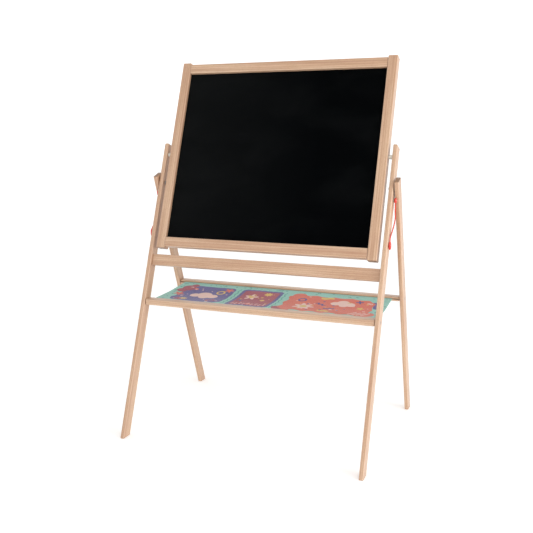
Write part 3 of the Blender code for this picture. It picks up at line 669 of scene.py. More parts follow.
def melamine_white():
    """Smooth glossy melamine for dry pens, with a trace of wiped ink and a soft ripple."""
    board = bpy.context.scene.easel_board
    made, tree, surface = new_material("melamine_white", coat_weight=0.5, coat_roughness=0.08)
    place = add(tree, "ShaderNodeTexCoord").outputs["Object"]
    wiped = add(tree, "ShaderNodeMapping", {"Vector": place, "Scale": (4, 10, 10),
                                            "Rotation": (0, -0.6, 0)}).outputs[0]
    clouds = add(tree, "ShaderNodeTexNoise", {"Vector": wiped, "Scale": 1.0, "Detail": 4.0,
                                              "Distortion": 0.5}).outputs["Fac"]
    trace = add(tree, "ShaderNodeMapRange", {"Value": clouds, "From Min": 0.55, "From Max": 0.9,
                                             "To Max": 0.10}).outputs[0]
    base = add(tree, "ShaderNodeMix", {0: trace, 6: board.white, 7: linear("#9fb3c6")},
               data_type="RGBA").outputs[2]
    tree.links.new(base, surface.inputs["Base Color"])
    rough = add(tree, "ShaderNodeMapRange", {"Value": clouds, "To Min": 0.16, "To Max": 0.30}).outputs[0]
    tree.links.new(rough, surface.inputs["Roughness"])
    ripple = add(tree, "ShaderNodeTexNoise", {"Vector": place, "Scale": 45.0, "Detail": 1.0}).outputs["Fac"]
    bump = add(tree, "ShaderNodeBump", {"Height": ripple, "Strength": 0.1, "Distance": 0.0004})
    tree.links.new(bump.outputs[0], surface.inputs["Normal"])
    return made


PRINT_LAYERS = ("deep_teal", "violet", "crimson", "coral", "blush", "yellow", "ink")


def printed_canvas():
    """Plain-woven polyester canvas with a flat screen print: matt, with a thread texture, and print
    edges as crisp as ink. Each colour is laid where its stored distance is below zero."""
    tray = bpy.context.scene.easel_tray
    made, tree, surface = new_material(
        "printed_canvas", roughness=0.88, sheen_weight=0.25, sheen_roughness=0.5, specular_ior_level=0.25)
    flat = add(tree, "ShaderNodeUVMap", uv_map="cloth").outputs["UV"]
    base = tray.ground
    for layer in PRINT_LAYERS:
        distance = add(tree, "ShaderNodeAttribute", attribute_name="print_" + layer).outputs["Fac"]
        inside = add(tree, "ShaderNodeMapRange", {
            "Value": distance, "From Min": 0.0002, "From Max": -0.0002}).outputs[0]
        base = add(tree, "ShaderNodeMix", {0: inside, 6: base, 7: getattr(tray, layer)},
                   data_type="RGBA").outputs[2]
    # Threads 1.2 mm apart, twice as coarse as the cloth so that they show.
    threads = {"Vector": flat, "Scale": 262.0, "Distortion": 0.6, "Detail Scale": 0.4}
    warp = add(tree, "ShaderNodeTexWave", threads, bands_direction="X").outputs["Fac"]
    weft = add(tree, "ShaderNodeTexWave", threads, bands_direction="Y").outputs["Fac"]
    weave = add(tree, "ShaderNodeMath", {0: warp, 1: weft}, operation="ADD").outputs[0]
    slub = add(tree, "ShaderNodeTexNoise", {"Vector": flat, "Scale": 90.0, "Detail": 3.0}).outputs["Fac"]
    shade = add(tree, "ShaderNodeMapRange", {"Value": weave, "From Max": 2.0, "To Min": 0.90,
                                             "To Max": 1.04}).outputs[0]
    shade = add(tree, "ShaderNodeMath", {0: slub, 1: 0.12, 2: shade}, operation="MULTIPLY_ADD").outputs[0]
    shade = add(tree, "ShaderNodeMath", {0: shade, 1: 0.06}, operation="SUBTRACT").outputs[0]
    base = add(tree, "ShaderNodeMix", {0: 1.0, 6: base, 7: shade}, data_type="RGBA",
               blend_type="MULTIPLY").outputs[2]
    tree.links.new(base, surface.inputs["Base Color"])
    bump = add(tree, "ShaderNodeBump", {"Height": weave, "Strength": 0.5, "Distance": 0.00018})
    tree.links.new(bump.outputs[0], surface.inputs["Normal"])
    return made


def stitching_thread():
    """Twisted polyester thread: a dull sheen and a fine twist."""
    made, tree, surface = new_material("stitching_thread", roughness=0.6, sheen_weight=0.3)
    place = add(tree, "ShaderNodeTexCoord").outputs["Object"]
    twist = add(tree, "ShaderNodeTexNoise", {"Vector": place, "Scale": 900.0}).outputs["Fac"]
    base = add(tree, "ShaderNodeMix", {0: twist, 6: bpy.context.scene.easel_tray.thread,
                                       7: linear("#a9cfc6")}, data_type="RGBA").outputs[2]
    tree.links.new(base, surface.inputs["Base Color"])
    return made


def braided_polyester():
    """Round braided polyester cord: each carrier's crown is brighter than the groove beside it, whose
    darker red is painted shade.
    """
    cord = bpy.context.scene.easel_cord
    made, tree, surface = new_material("braided_polyester", roughness=0.62, sheen_weight=0.35,
                                       sheen_roughness=0.4)
    crown = add(tree, "ShaderNodeAttribute", attribute_name="crown").outputs["Fac"]
    flat = add(tree, "ShaderNodeUVMap", uv_map="cord").outputs["UV"]
    hairs = add(tree, "ShaderNodeMapping", {"Vector": flat, "Scale": (60, 900, 1)}).outputs[0]
    hairs = add(tree, "ShaderNodeTexNoise", {"Vector": hairs, "Scale": 1.0}).outputs["Fac"]
    # Painted shade: darker red in the grooves and the cord's red on the crowns, following the crown height.
    tone = add(tree, "ShaderNodeMath", {0: hairs, 1: 0.3, 2: crown}, operation="MULTIPLY_ADD").outputs[0]
    base = add(tree, "ShaderNodeMix", {0: tone, 6: linear("#a3221a"), 7: cord.red},
               data_type="RGBA").outputs[2]
    tree.links.new(base, surface.inputs["Base Color"])
    bump = add(tree, "ShaderNodeBump", {"Height": hairs, "Strength": 0.3, "Distance": 0.0001})
    tree.links.new(bump.outputs[0], surface.inputs["Normal"])
    return made


def lacquered_bead():
    """A turned wooden bead dipped in gloss lacquer: a hard shine over a faint orange peel."""
    made, tree, surface = new_material("lacquered_bead", roughness=0.32, coat_weight=0.7, coat_roughness=0.1)
    place = add(tree, "ShaderNodeTexCoord").outputs["Object"]
    peel = add(tree, "ShaderNodeTexNoise", {"Vector": place, "Scale": 700.0, "Detail": 1.0}).outputs["Fac"]
    base = add(tree, "ShaderNodeMix", {0: peel, 6: bpy.context.scene.easel_cord.bead_red,
                                       7: linear("#c42419")}, data_type="RGBA").outputs[2]
    tree.links.new(base, surface.inputs["Base Color"])
    bump = add(tree, "ShaderNodeBump", {"Height": peel, "Strength": 0.12, "Distance": 0.0002})
    tree.links.new(bump.outputs[0], surface.inputs["Normal"])
    return made


def zinc_plated_steel():
    """Zinc-plated steel: a pale metal with the cloudy spangle and fine scratches of tumbled fixings."""
    made, tree, surface = new_material("zinc_plated_steel", metallic=1.0)
    place = add(tree, "ShaderNodeTexCoord").outputs["Object"]
    cloud = add(tree, "ShaderNodeTexNoise", {"Vector": place, "Scale": 420.0, "Detail": 3.0}).outputs["Fac"]
    base = add(tree, "ShaderNodeMix", {0: cloud, 6: bpy.context.scene.easel_fixings.steel,
                                       7: linear("#8f9496")}, data_type="RGBA").outputs[2]
    tree.links.new(base, surface.inputs["Base Color"])
    rough = add(tree, "ShaderNodeMapRange", {"Value": cloud, "To Min": 0.24, "To Max": 0.46}).outputs[0]
    tree.links.new(rough, surface.inputs["Roughness"])
    bump = add(tree, "ShaderNodeBump", {"Height": cloud, "Strength": 0.1, "Distance": 0.0001})
    tree.links.new(bump.outputs[0], surface.inputs["Normal"])
    return made


def moulded_nylon():
    """Injection-moulded nylon: slightly waxy, with the fine spark-eroded texture of the mould."""
    made, tree, surface = new_material("moulded_nylon", roughness=0.45, subsurface_weight=0.08)
    surface.inputs["Subsurface Scale"].default_value = 0.002
    place = add(tree, "ShaderNodeTexCoord").outputs["Object"]
    spark = add(tree, "ShaderNodeTexNoise", {"Vector": place, "Scale": 1500.0, "Detail": 1.0}).outputs["Fac"]
    base = add(tree, "ShaderNodeMix", {0: spark, 6: bpy.context.scene.easel_fixings.nylon,
                                       7: linear("#d5d1c6")}, data_type="RGBA").outputs[2]
    tree.links.new(base, surface.inputs["Base Color"])
    bump = add(tree, "ShaderNodeBump", {"Height": spark, "Strength": 0.15, "Distance": 0.0001})
    tree.links.new(bump.outputs[0], surface.inputs["Normal"])
    return made


def pultruded_rod():
    """Pultruded glass-fibre rod: off-white, with streaks along its length."""
    made, tree, surface = new_material("pultruded_rod", roughness=0.5)
    place = add(tree, "ShaderNodeTexCoord").outputs["Object"]
    streak = add(tree, "ShaderNodeMapping", {"Vector": place, "Scale": (20, 1500, 1500)}).outputs[0]
    streak = add(tree, "ShaderNodeTexNoise", {"Vector": streak, "Scale": 1.0}).outputs["Fac"]
    base = add(tree, "ShaderNodeMix", {0: streak, 6: linear("#e7e4da"), 7: linear("#cfcabb")},
               data_type="RGBA").outputs[2]
    tree.links.new(base, surface.inputs["Base Color"])
    return made


def dowel_beech():
    """Fluted beech dowel: raw, unlacquered, with streaks along its length."""
    made, tree, surface = new_material("dowel_beech", roughness=0.72)
    place = add(tree, "ShaderNodeTexCoord").outputs["Object"]
    streak = add(tree, "ShaderNodeMapping", {"Vector": place, "Scale": (14, 700, 700)}).outputs[0]
    streak = add(tree, "ShaderNodeTexNoise", {"Vector": streak, "Scale": 1.0, "Detail": 3.0}).outputs["Fac"]
    timber = bpy.context.scene.easel_timber
    base = add(tree, "ShaderNodeMix", {0: streak, 6: timber.pale, 7: timber.dark},
               data_type="RGBA").outputs[2]
    tree.links.new(base, surface.inputs["Base Color"])
    return made


def paper_sweep():
    """Matt background paper: a plain pale sweep with an even, faintly fibrous surface."""
    stage = bpy.context.scene.easel_stage
    made, tree, surface = new_material(
        "paper_sweep", roughness=0.95, specular_ior_level=0.1, emission_color=(1, 1, 1, 1),
        emission_strength=stage.glow)
    place = add(tree, "ShaderNodeTexCoord").outputs["Object"]
    fibre = add(tree, "ShaderNodeTexNoise", {"Vector": place, "Scale": 30.0, "Detail": 3.0}).outputs["Fac"]
    base = add(tree, "ShaderNodeMix", {0: fibre, 6: stage.floor, 7: linear("#f8f8f7")},
               data_type="RGBA").outputs[2]
    tree.links.new(base, surface.inputs["Base Color"])
    return made


def material(name):
    """The named finish, made the first time it is asked for."""
    return bpy.data.materials.get(name) or globals()[name]()


def finish_node(node, material_name, slot):
    """Give a CAD piece whose shape is already right its real finish."""
    piece = FRAME["nodes"][node]
    piece.material_slots[0].material = material(material_name)
    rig.slot(piece, slot)


# ---------------------------------------------------------------- the pieces


class EASEL_OT_stage(bpy.types.Operator):
    """Paper sweep, soft lights and the camera"""
    bl_idname = "easel.stage"
    bl_label = "Stage"

    def execute(self, context):
        stage = context.scene.easel_stage
        # The sweep: a disc 4.5 in radius whose rim bends up, over a quarter circle, to a round wall.
        flat, curve, segments = 4.5, 1.8, 128
        bend = np.linspace(0, np.pi / 2, 25)
        reach = np.concatenate([np.linspace(0.1, flat - 0.1, 24), flat + curve * np.sin(bend),
                                np.full(6, flat + curve)])[:, None]
        rise = np.concatenate([np.zeros(24), curve * (1 - np.cos(bend)), np.linspace(2.2, 5.5, 6)])[:, None]
        angle = np.linspace(0, 2 * np.pi, segments, endpoint=False)
        points = np.stack([reach * np.cos(angle), reach * np.sin(angle), rise + 0 * angle], -1)
        faces = quads(len(reach), segments).tolist() + [list(range(segments))]
        below_feet = 0.0002
        sweep = make_piece("paper_sweep", points - Z * below_feet, faces, material("paper_sweep"))
        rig.stage(sweep)
        lights = (
            ("key_light", (2.9, -0.9, 1.1), (0, 0, 0.6), 1.8, stage.key_power),
            ("fill_light", (1.7, -2.7, 0.9), (0, 0, 0.7), 1.6, stage.fill_power),
            ("top_light", (0.2, -0.6, 4.2), (0, 0, 0.4), 3.6, stage.top_power),
        )
        for name, place, aim, size, power in lights:
            data = bpy.data.lights.new(name, "AREA")
            data.shape, data.size, data.energy = "SQUARE", size, power
            light = bpy.data.objects.new(name, data)
            context.scene.collection.objects.link(light)
            look(light, place, aim)
        world = bpy.data.worlds.new("pale_room")
        world.use_nodes = True
        sky = world.node_tree.nodes["Background"]
        sky.inputs["Color"].default_value = (1, 1, 1, 1)
        sky.inputs["Strength"].default_value = stage.room
        context.scene.world = world
        context.scene.view_settings.view_transform = "Standard"
        lens = bpy.data.cameras.new("camera")
        lens.lens, lens.sensor_width = stage.lens, 36
        camera = bpy.data.objects.new("camera", lens)
        context.scene.collection.objects.link(camera)
        camera.location, camera.rotation_euler = stage.camera_place, stage.camera_turn
        context.scene.camera = camera
        return {"FINISHED"}


def look(thing, place, aim):
    """Stand a light at a place and turn its -Z towards its aim."""
    thing.location = place
    thing.rotation_euler = (Vector(aim) - Vector(place)).to_track_quat("-Z", "Y").to_euler()


# The right cord's route, from under its top bead to the top of its low bead; the left is its mirror.
CORD_ROUTE = np.array((
    (0.4050, -0.01707, 0.7544), (0.4041, -0.01344, 0.7450), (0.4031, -0.00753, 0.7280),
    (0.4022, 0.00203, 0.7090), (0.4012, -0.00904, 0.6890), (0.4008, -0.03306, 0.6710),
    (0.4016, -0.05963, 0.6580), (0.4027, -0.06951, 0.6471),
))


def smooth_route(points, count):
    """Catmull-Rom through the points: half of 2b + (c - a)t + (2a - 5b + 4c - d)t^2 + (3b - a - 3c + d)t^3
    between b and c, then resampled to even steps."""
    padded = np.concatenate([[2 * points[0] - points[1]], points, [2 * points[-1] - points[-2]]])
    a, b, c, d = padded[:-3, None], padded[1:-2, None], padded[2:-1, None], padded[3:, None]
    t = np.linspace(0, 1, 60, endpoint=False)[None, :, None]
    fine = 0.5 * (2 * b + (c - a) * t + (2 * a - 5 * b + 4 * c - d) * t ** 2
                  + (3 * b - a - 3 * c + d) * t ** 3)
    fine = np.concatenate([fine.reshape(-1, 3), points[-1:]])
    run = np.concatenate([[0], np.cumsum(np.linalg.norm(np.diff(fine, axis=0), axis=1))])
    even = np.linspace(0, run[-1], count)
    return np.stack([np.interp(even, run, fine[:, k]) for k in range(3)], 1), run[-1]


class EASEL_OT_cords(bpy.types.Operator):
    """Red braided stay cords, one beside each front leg"""
    bl_idname = "easel.cords"
    bl_label = "Stay cords"

    def execute(self, context):
        cord = context.scene.easel_cord
        sides, rings = 24, 190
        around = np.linspace(0, 2 * np.pi, sides, endpoint=False)
        for label, side in SIDES.items():
            route, run = smooth_route(CORD_ROUTE * (side, 1, 1), rings)
            ahead = unit(np.gradient(route, axis=0))
            out = unit(X - ahead * (ahead @ X)[:, None])
            other = np.cross(ahead, out)
            # Braid: eight carriers, four turning each way, whose crowns rise 0.2 mm.
            travelled = np.linspace(0, run, rings)
            twist = travelled[:, None] * np.pi / cord.braid
            one_way, other_way = 2 * around - twist, 2 * around + twist
            crown = np.sqrt(np.maximum(np.cos(one_way) ** 2 * np.cos(other_way) ** 2,
                                       np.sin(one_way) ** 2 * np.sin(other_way) ** 2))
            radius = cord.diameter / 2 + 0.00022 * (crown - 0.6)
            spoke = np.cos(around)[:, None] * out[:, None] + np.sin(around)[:, None] * other[:, None]
            points = route[:, None] + radius[..., None] * spoke
            faces = quads(rings, sides).tolist() + end_caps(rings, sides)
            braid = material("braided_polyester")
            piece = make_piece("stay_cord_" + label + "_braid", points, faces, braid, None,
                               ["stay_cord_" + label], "red_cord", crown=crown.ravel())
            store_uv(piece, "cord", np.stack([np.tile(around * cord.diameter / 2, rings),
                                              np.repeat(travelled, sides)], 1))
            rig.blend(piece, "rear_frame", "front_frame", start=route[0].tolist(), end=route[-1].tolist())
            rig.cord(piece, exit=route[0].tolist(), length=float(run), diameter=cord.diameter,
                    far_end="object", stiffness="limp", lay="hanging", path=route.tolist())
        return {"FINISHED"}


def store_uv(piece, name, per_point):
    """Write a UV map whose value at each corner is that of the corner's point."""
    mesh = piece.data
    layer = mesh.uv_layers.new(name=name)
    corners = np.zeros(len(mesh.loops), np.int32)
    mesh.loops.foreach_get("vertex_index", corners)
    layer.uv.foreach_set("vector", np.asarray(per_point, np.float32)[corners].ravel())


class EASEL_OT_beads(bpy.types.Operator):
    """Red beads at the ends of the stay cords"""
    bl_idname = "easel.beads"
    bl_label = "Beads"

    def execute(self, context):
        cord = context.scene.easel_cord
        for label in SIDES:
            for node, size, body in (("cord_bead_top_" + label, cord.top_bead, "rear_frame"),
                                     ("cord_bead_low_" + label, cord.low_bead, "front_frame")):
                low, high = (np.array(corner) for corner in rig.box(node))
                centre, radius = (low + high) / 2, (high[0] - low[0]) / 2
                bore = cord.diameter / 2 + 0.0002
                # The radius swells as sin(t)^0.6 from lip to lip, which clears the folded rear leg, and
                # each lip rolls into the bore.
                t = np.linspace(0.12 * np.pi, 0.88 * np.pi, 22)
                belly = radius * np.sin(t) ** 0.6
                rise = -size / 2 * np.cos(t) / np.cos(0.12 * np.pi)
                roll = min(0.0008, belly[0] - bore)
                outline = [(rise[0] + 0.0022, bore * 0.6), (rise[0] + 0.0012, bore),
                           (rise[0] + 0.0003, bore + 0.0001),
                           (rise[0] - 0.00005, bore + roll * 0.5), *zip(rise, belly),
                           (rise[-1] + 0.00005, bore + roll * 0.5), (rise[-1] - 0.0003, bore + 0.0001),
                           (rise[-1] - 0.0012, bore), (rise[-1] - 0.0022, bore * 0.6)]
                turned(node.replace("cord_bead", "bead"), centre, Z, outline, "lacquered_bead", body, node,
                       "red_bead", 40)
        return {"FINISHED"}


class EASEL_OT_legs(bpy.types.Operator):
    """Front and rear legs of rounded rectangular stock, cut level at the floor"""
    bl_idname = "easel.legs"
    bl_label = "Legs"

    def execute(self, context):
        scene = context.scene
        timber, tray, fixings = scene.easel_timber, scene.easel_tray, scene.easel_fixings
        profile = timber_profile(timber.leg_width, timber.leg_depth, timber.leg_rounding)
        hinge_up = float(np.linalg.norm(HINGE - REAR.foot))
        for label, side in SIDES.items():
            for kind, lean, top, rail, soften in (
                ("front", FRONT, timber.front_leg, tray.front_height, 0.0014),
                ("rear", REAR, hinge_up + timber.past_hinge, tray.rear_height, 0.0010),
            ):
                node = kind + "_leg_" + label
                low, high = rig.box(node)
                middle = (low.x + high.x) / 2
                sink = (rail / lean.up[2], 0.0, fixings.screw_head + 0.0003, 0.0026, 0.0019)
                bar("leg_" + kind + "_" + label, lean.at(middle, 0), X * side, lean.up, profile, 0.0, top,
                    soften, seed=len(node) * 7 + side, body=kind + "_frame", node=node,
                    foot=side * lean.slope, hole=sink, top_cut=0.0025 if kind == "front" else 0.0008)
        return {"FINISHED"}


class EASEL_OT_cross_rail(bpy.types.Operator):
    """The flat rail under the board, with its hidden dowels"""
    bl_idname = "easel.cross_rail"
    bl_label = "Cross rail"

    def execute(self, context):
        timber = context.scene.easel_timber
        low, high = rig.box("cross_rail")
        profile = timber_profile(timber.cross_rail_thickness, timber.cross_rail_width, 0.002)
        place = FRONT.at(0, timber.cross_rail_top - timber.cross_rail_width / 2)
        bar("rail_cross", place, -FRONT.back, X, profile, low.x, high.x, 0.001, 11, "front_frame",
            "cross_rail")
        for label in SIDES:
            finish_node("cross_rail_dowel_" + label, "dowel_beech", "beech")
        return {"FINISHED"}


class EASEL_OT_board_frame(bpy.types.Operator):
    """The board's stiles and rails, grooved for its panels"""
    bl_idname = "easel.board_frame"
    bl_label = "Board frame"

    def execute(self, context):
        board = context.scene.easel_board
        panel_low, panel_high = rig.box("chalkboard_panel")
        inner = board.width / 2 - board.stile_width
        groove = (0.00345, panel_high.x - inner + 0.0003, 0)
        rail_top = board.height / 2 - board.rail_inset
        reach = rail_top - board.rail_width + groove[1]
        stile = timber_profile(board.stile_width, board.thickness, board.rounding, groove)
        for label, side in SIDES.items():
            middle = PIVOT + X * side * (board.width - board.stile_width) / 2
            bar("stile_" + label, middle, -X * side, FRONT.up, stile, -board.height / 2, board.height / 2,
                0.0022, 21 + side, "board", "board_stile_" + label, groove_between=(-reach, reach))
        rail = timber_profile(board.rail_width, board.thickness, board.rounding, groove)
        for label, side in (("top", 1), ("bottom", -1)):
            middle = PIVOT + FRONT.up * side * (rail_top - board.rail_width / 2)
            bar("rail_board_" + label, middle, -FRONT.up * side, X, rail, -inner + 0.0003, inner - 0.0003,
                0.0020, 31 + side, "board", "board_rail_" + label)
        return {"FINISHED"}


class EASEL_OT_panels(bpy.types.Operator):
    """The chalk face in front and the white pen face behind"""
    bl_idname = "easel.panels"
    bl_label = "Writing faces"

    def execute(self, context):
        finish_node("chalkboard_panel", "chalkboard_paint", "chalkboard_black")
        finish_node("whiteboard_panel", "melamine_white", "whiteboard_white")
        return {"FINISHED"}


class EASEL_OT_tray_rails(bpy.types.Operator):
    """The tray's front and rear rails with their hem rods"""
    bl_idname = "easel.tray_rails"
    bl_label = "Tray rails"

    def execute(self, context):
        tray = context.scene.easel_tray
        for kind, lean, height, thickness, inward in (
            ("front", FRONT, tray.front_height, tray.front_thickness, 1),
            ("rear", REAR, tray.rear_height, tray.rear_thickness, -1),
        ):
            node = "tray_rail_" + kind
            low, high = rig.box(node)
            profile = timber_profile(tray.rail_depth, thickness, tray.rounding, (0.0015, 0.009, 0.0026),
                                     steps=6)
            place = np.array((0, (low.y + high.y) / 2, height))
            bar("rail_" + node[:4] + "_" + kind, place, Y * inward, X, profile, low.x, high.x,
                tray.rounding - 0.0004, 41 + inward, kind + "_frame", node)
            finish_node("hem_rod_" + kind, "pultruded_rod", "fibre_rod")
        return {"FINISHED"}


def disc(x, y, centre, radius):
    """Distance to a circle, negative inside."""
    return np.hypot(x - centre[0], y - centre[1]) - radius


def block(x, y, low, high, radius):
    """Distance to a rectangle with rounded corners, negative inside."""
    middle, half = (np.array(low) + high) / 2, (np.array(high) - low) / 2
    dx, dy = abs(x - middle[0]) - half[0] + radius, abs(y - middle[1]) - half[1] + radius
    return np.hypot(np.maximum(dx, 0), np.maximum(dy, 0)) + np.minimum(np.maximum(dx, dy), 0) - radius


def flower(x, y, centre, radius, petals=5, depth=0.28, turn=0.0):
    """Distance to a flower, whose radius swings by depth as the cosine of petals times the angle."""
    dx, dy = x - centre[0], y - centre[1]
    swing = 1 - depth + depth * np.cos(petals * (np.arctan2(dy, dx) - turn))
    return (np.hypot(dx, dy) - radius * swing) * 0.8


def ring(x, y, centre, radius, width):
    return abs(disc(x, y, centre, radius)) - width / 2


def stroke(x, y, centre, half_length, width, angle, swing=0.0, pitch=0.02):
    """Distance to a short line with round ends, turned by an angle; swing makes it a sine wave."""
    dx, dy = x - centre[0], y - centre[1]
    along = dx * np.cos(angle) + dy * np.sin(angle)
    aside = dy * np.cos(angle) - dx * np.sin(angle) - swing * np.sin(2 * np.pi * along / pitch)
    return np.hypot(np.maximum(abs(along) - half_length, 0), aside * (0.7 if swing else 1)) - width / 2


def plus(x, y, centre, reach, width, angle):
    """Distance to two crossed strokes."""
    return np.minimum(stroke(x, y, centre, reach, width, angle),
                      stroke(x, y, centre, reach, width, angle + np.pi / 2))


def scattered(x, y, rng, count, low, high, sizes):
    """Small flowers, rings, dots and pluses in turn, at seeded places between two corners."""
    found = []
    for k, (px, py, share) in enumerate(rng.uniform((*low, 0), (*high, 1), (count, 3))):
        size = sizes[0] + (sizes[1] - sizes[0]) * share
        found.append((flower(x, y, (px, py), size * 1.3, 5, 0.28, 6 * share),
                      ring(x, y, (px, py), size * 0.8, size * 0.6),
                      disc(x, y, (px, py), size * 0.7),
                      plus(x, y, (px, py), size * 0.8, size * 0.55, 3 * share))[k % 4])
    return np.minimum.reduce(found)


def cloth_print(x, y):
    """The distances that draw each printed colour over the cloth: three wavy-edged panels on a teal
    ground, filled and overlapped with clouds, flowers, rings, dots, pluses, checks and waves."""

    def joined(*parts):
        return np.minimum.reduce(parts)

    def wavy(low, high, radius, amount, pitch):
        """A rounded block whose outline swings in and out along its sides."""
        wave = np.sin(2 * np.pi * x / pitch) * np.cos(2 * np.pi * y / pitch)
        return block(x, y, low, high, radius) + amount * wave

    rng = np.random.default_rng(5)
    layers = {}
    layers["deep_teal"] = joined(
        scattered(x, y, rng, 34, (-0.370, 0.004), (0.370, 0.024), (0.0030, 0.0055)),
        scattered(x, y, rng, 34, (-0.370, 0.214), (0.370, 0.236), (0.0030, 0.0055)),
        scattered(x, y, rng, 12, (-0.372, 0.010), (-0.352, 0.230), (0.0035, 0.0060)),
        scattered(x, y, rng, 10, (0.352, 0.010), (0.372, 0.230), (0.0035, 0.0060)),
        *[stroke(x, y, (px, 0.121), 0.085, 0.0026, np.pi / 2, 0.0022, 0.03) for px in (-0.1435, 0.0275)])
    layers["violet"] = joined(
        wavy((-0.338, 0.032), (-0.156, 0.208), 0.022, 0.0030, 0.044),
        wavy((-0.132, 0.030), (0.018, 0.212), 0.016, 0.0012, 0.02),
        disc(x, y, (0.338, 0.170), 0.020), disc(x, y, (0.352, 0.146), 0.016))
    layers["crimson"] = joined(
        block(x, y, (-0.121, 0.041), (0.007, 0.201), 0.010),
        disc(x, y, (-0.330, 0.180), 0.024), disc(x, y, (-0.346, 0.152), 0.017),
        disc(x, y, (-0.318, 0.205), 0.014),
        ring(x, y, (-0.196, 0.066), 0.014, 0.007), disc(x, y, (0.052, 0.046), 0.022),
        disc(x, y, (0.078, 0.034), 0.015),
        flower(x, y, (-0.306, 0.052), 0.020, 6, 0.25))
    layers["coral"] = joined(
        wavy((0.048, 0.034), (0.336, 0.200), 0.034, 0.0050, 0.060), disc(x, y, (0.330, 0.060), 0.030),
        disc(x, y, (0.078, 0.192), 0.024), flower(x, y, (-0.338, 0.116), 0.020, 5, 0.3),
        flower(x, y, (-0.178, 0.186), 0.018, 5, 0.3), disc(x, y, (-0.300, 0.176), 0.008),
        disc(x, y, (-0.057, 0.060), 0.009))
    cloud = ((-0.030, 0, 0.019), (0, 0.010, 0.027), (0.032, 0.001, 0.020), (0.006, -0.012, 0.018))
    checks = [block(x, y, (px - 0.0036, py - 0.0036), (px + 0.0036, py + 0.0036), 0.0006)
              for k, px in enumerate(np.linspace(-0.112, -0.002, 9))
              for py in ((0.048, 0.062) if k % 2 else (0.055, 0.069))]
    layers["blush"] = joined(
        *[disc(x, y, (-0.246 + dx, 0.118 + dy), r) for dx, dy, r in cloud],
        *[disc(x, y, (0.236 + 0.8 * dx, 0.150 + 0.8 * dy), 0.8 * r) for dx, dy, r in cloud], *checks,
        flower(x, y, (-0.080, 0.146), 0.026, 5, 0.3, 0.2), flower(x, y, (0.122, 0.092), 0.036, 7, 0.24),
        *[stroke(x, y, (0.290 + 0.014 * k, 0.062), 0.020, 0.0050, 1.1) for k in range(4)],
        scattered(x, y, rng, 16, (-0.330, 0.040), (-0.165, 0.200), (0.0030, 0.0052)),
        scattered(x, y, rng, 18, (0.060, 0.045), (0.325, 0.190), (0.0032, 0.0056)))
    layers["yellow"] = joined(
        disc(x, y, (-0.080, 0.146), 0.009), disc(x, y, (0.122, 0.092), 0.012),
        ring(x, y, (-0.200, 0.162), 0.013, 0.006),
        flower(x, y, (-0.292, 0.060), 0.015, 8, 0.22), flower(x, y, (-0.030, 0.180), 0.016, 8, 0.2),
        disc(x, y, (-0.030, 0.118), 0.008), stroke(x, y, (0.176, 0.190), 0.017, 0.011, 0.25, 0.002, 0.03),
        stroke(x, y, (0.196, 0.058), 0.015, 0.011, -0.2, 0.002, 0.03),
        flower(x, y, (0.300, 0.126), 0.014, 5, 0.3),
        scattered(x, y, rng, 9, (-0.115, 0.080), (0.000, 0.195), (0.0030, 0.0050)),
        scattered(x, y, rng, 8, (0.060, 0.045), (0.330, 0.190), (0.0034, 0.0052)))
    layers["ink"] = joined(
        plus(x, y, (-0.104, 0.104), 0.010, 0.0055, 0.5), plus(x, y, (0.286, 0.180), 0.010, 0.006, 0.3),
        stroke(x, y, (0.168, 0.132), 0.016, 0.0065, -0.5, 0.004, 0.016),
        stroke(x, y, (0.206, 0.094), 0.016, 0.0065, 0.4, 0.004, 0.016),
        ring(x, y, (0.098, 0.158), 0.012, 0.006),
        scattered(x, y, rng, 8, (0.070, 0.050), (0.320, 0.190), (0.0032, 0.0050)))
    return layers


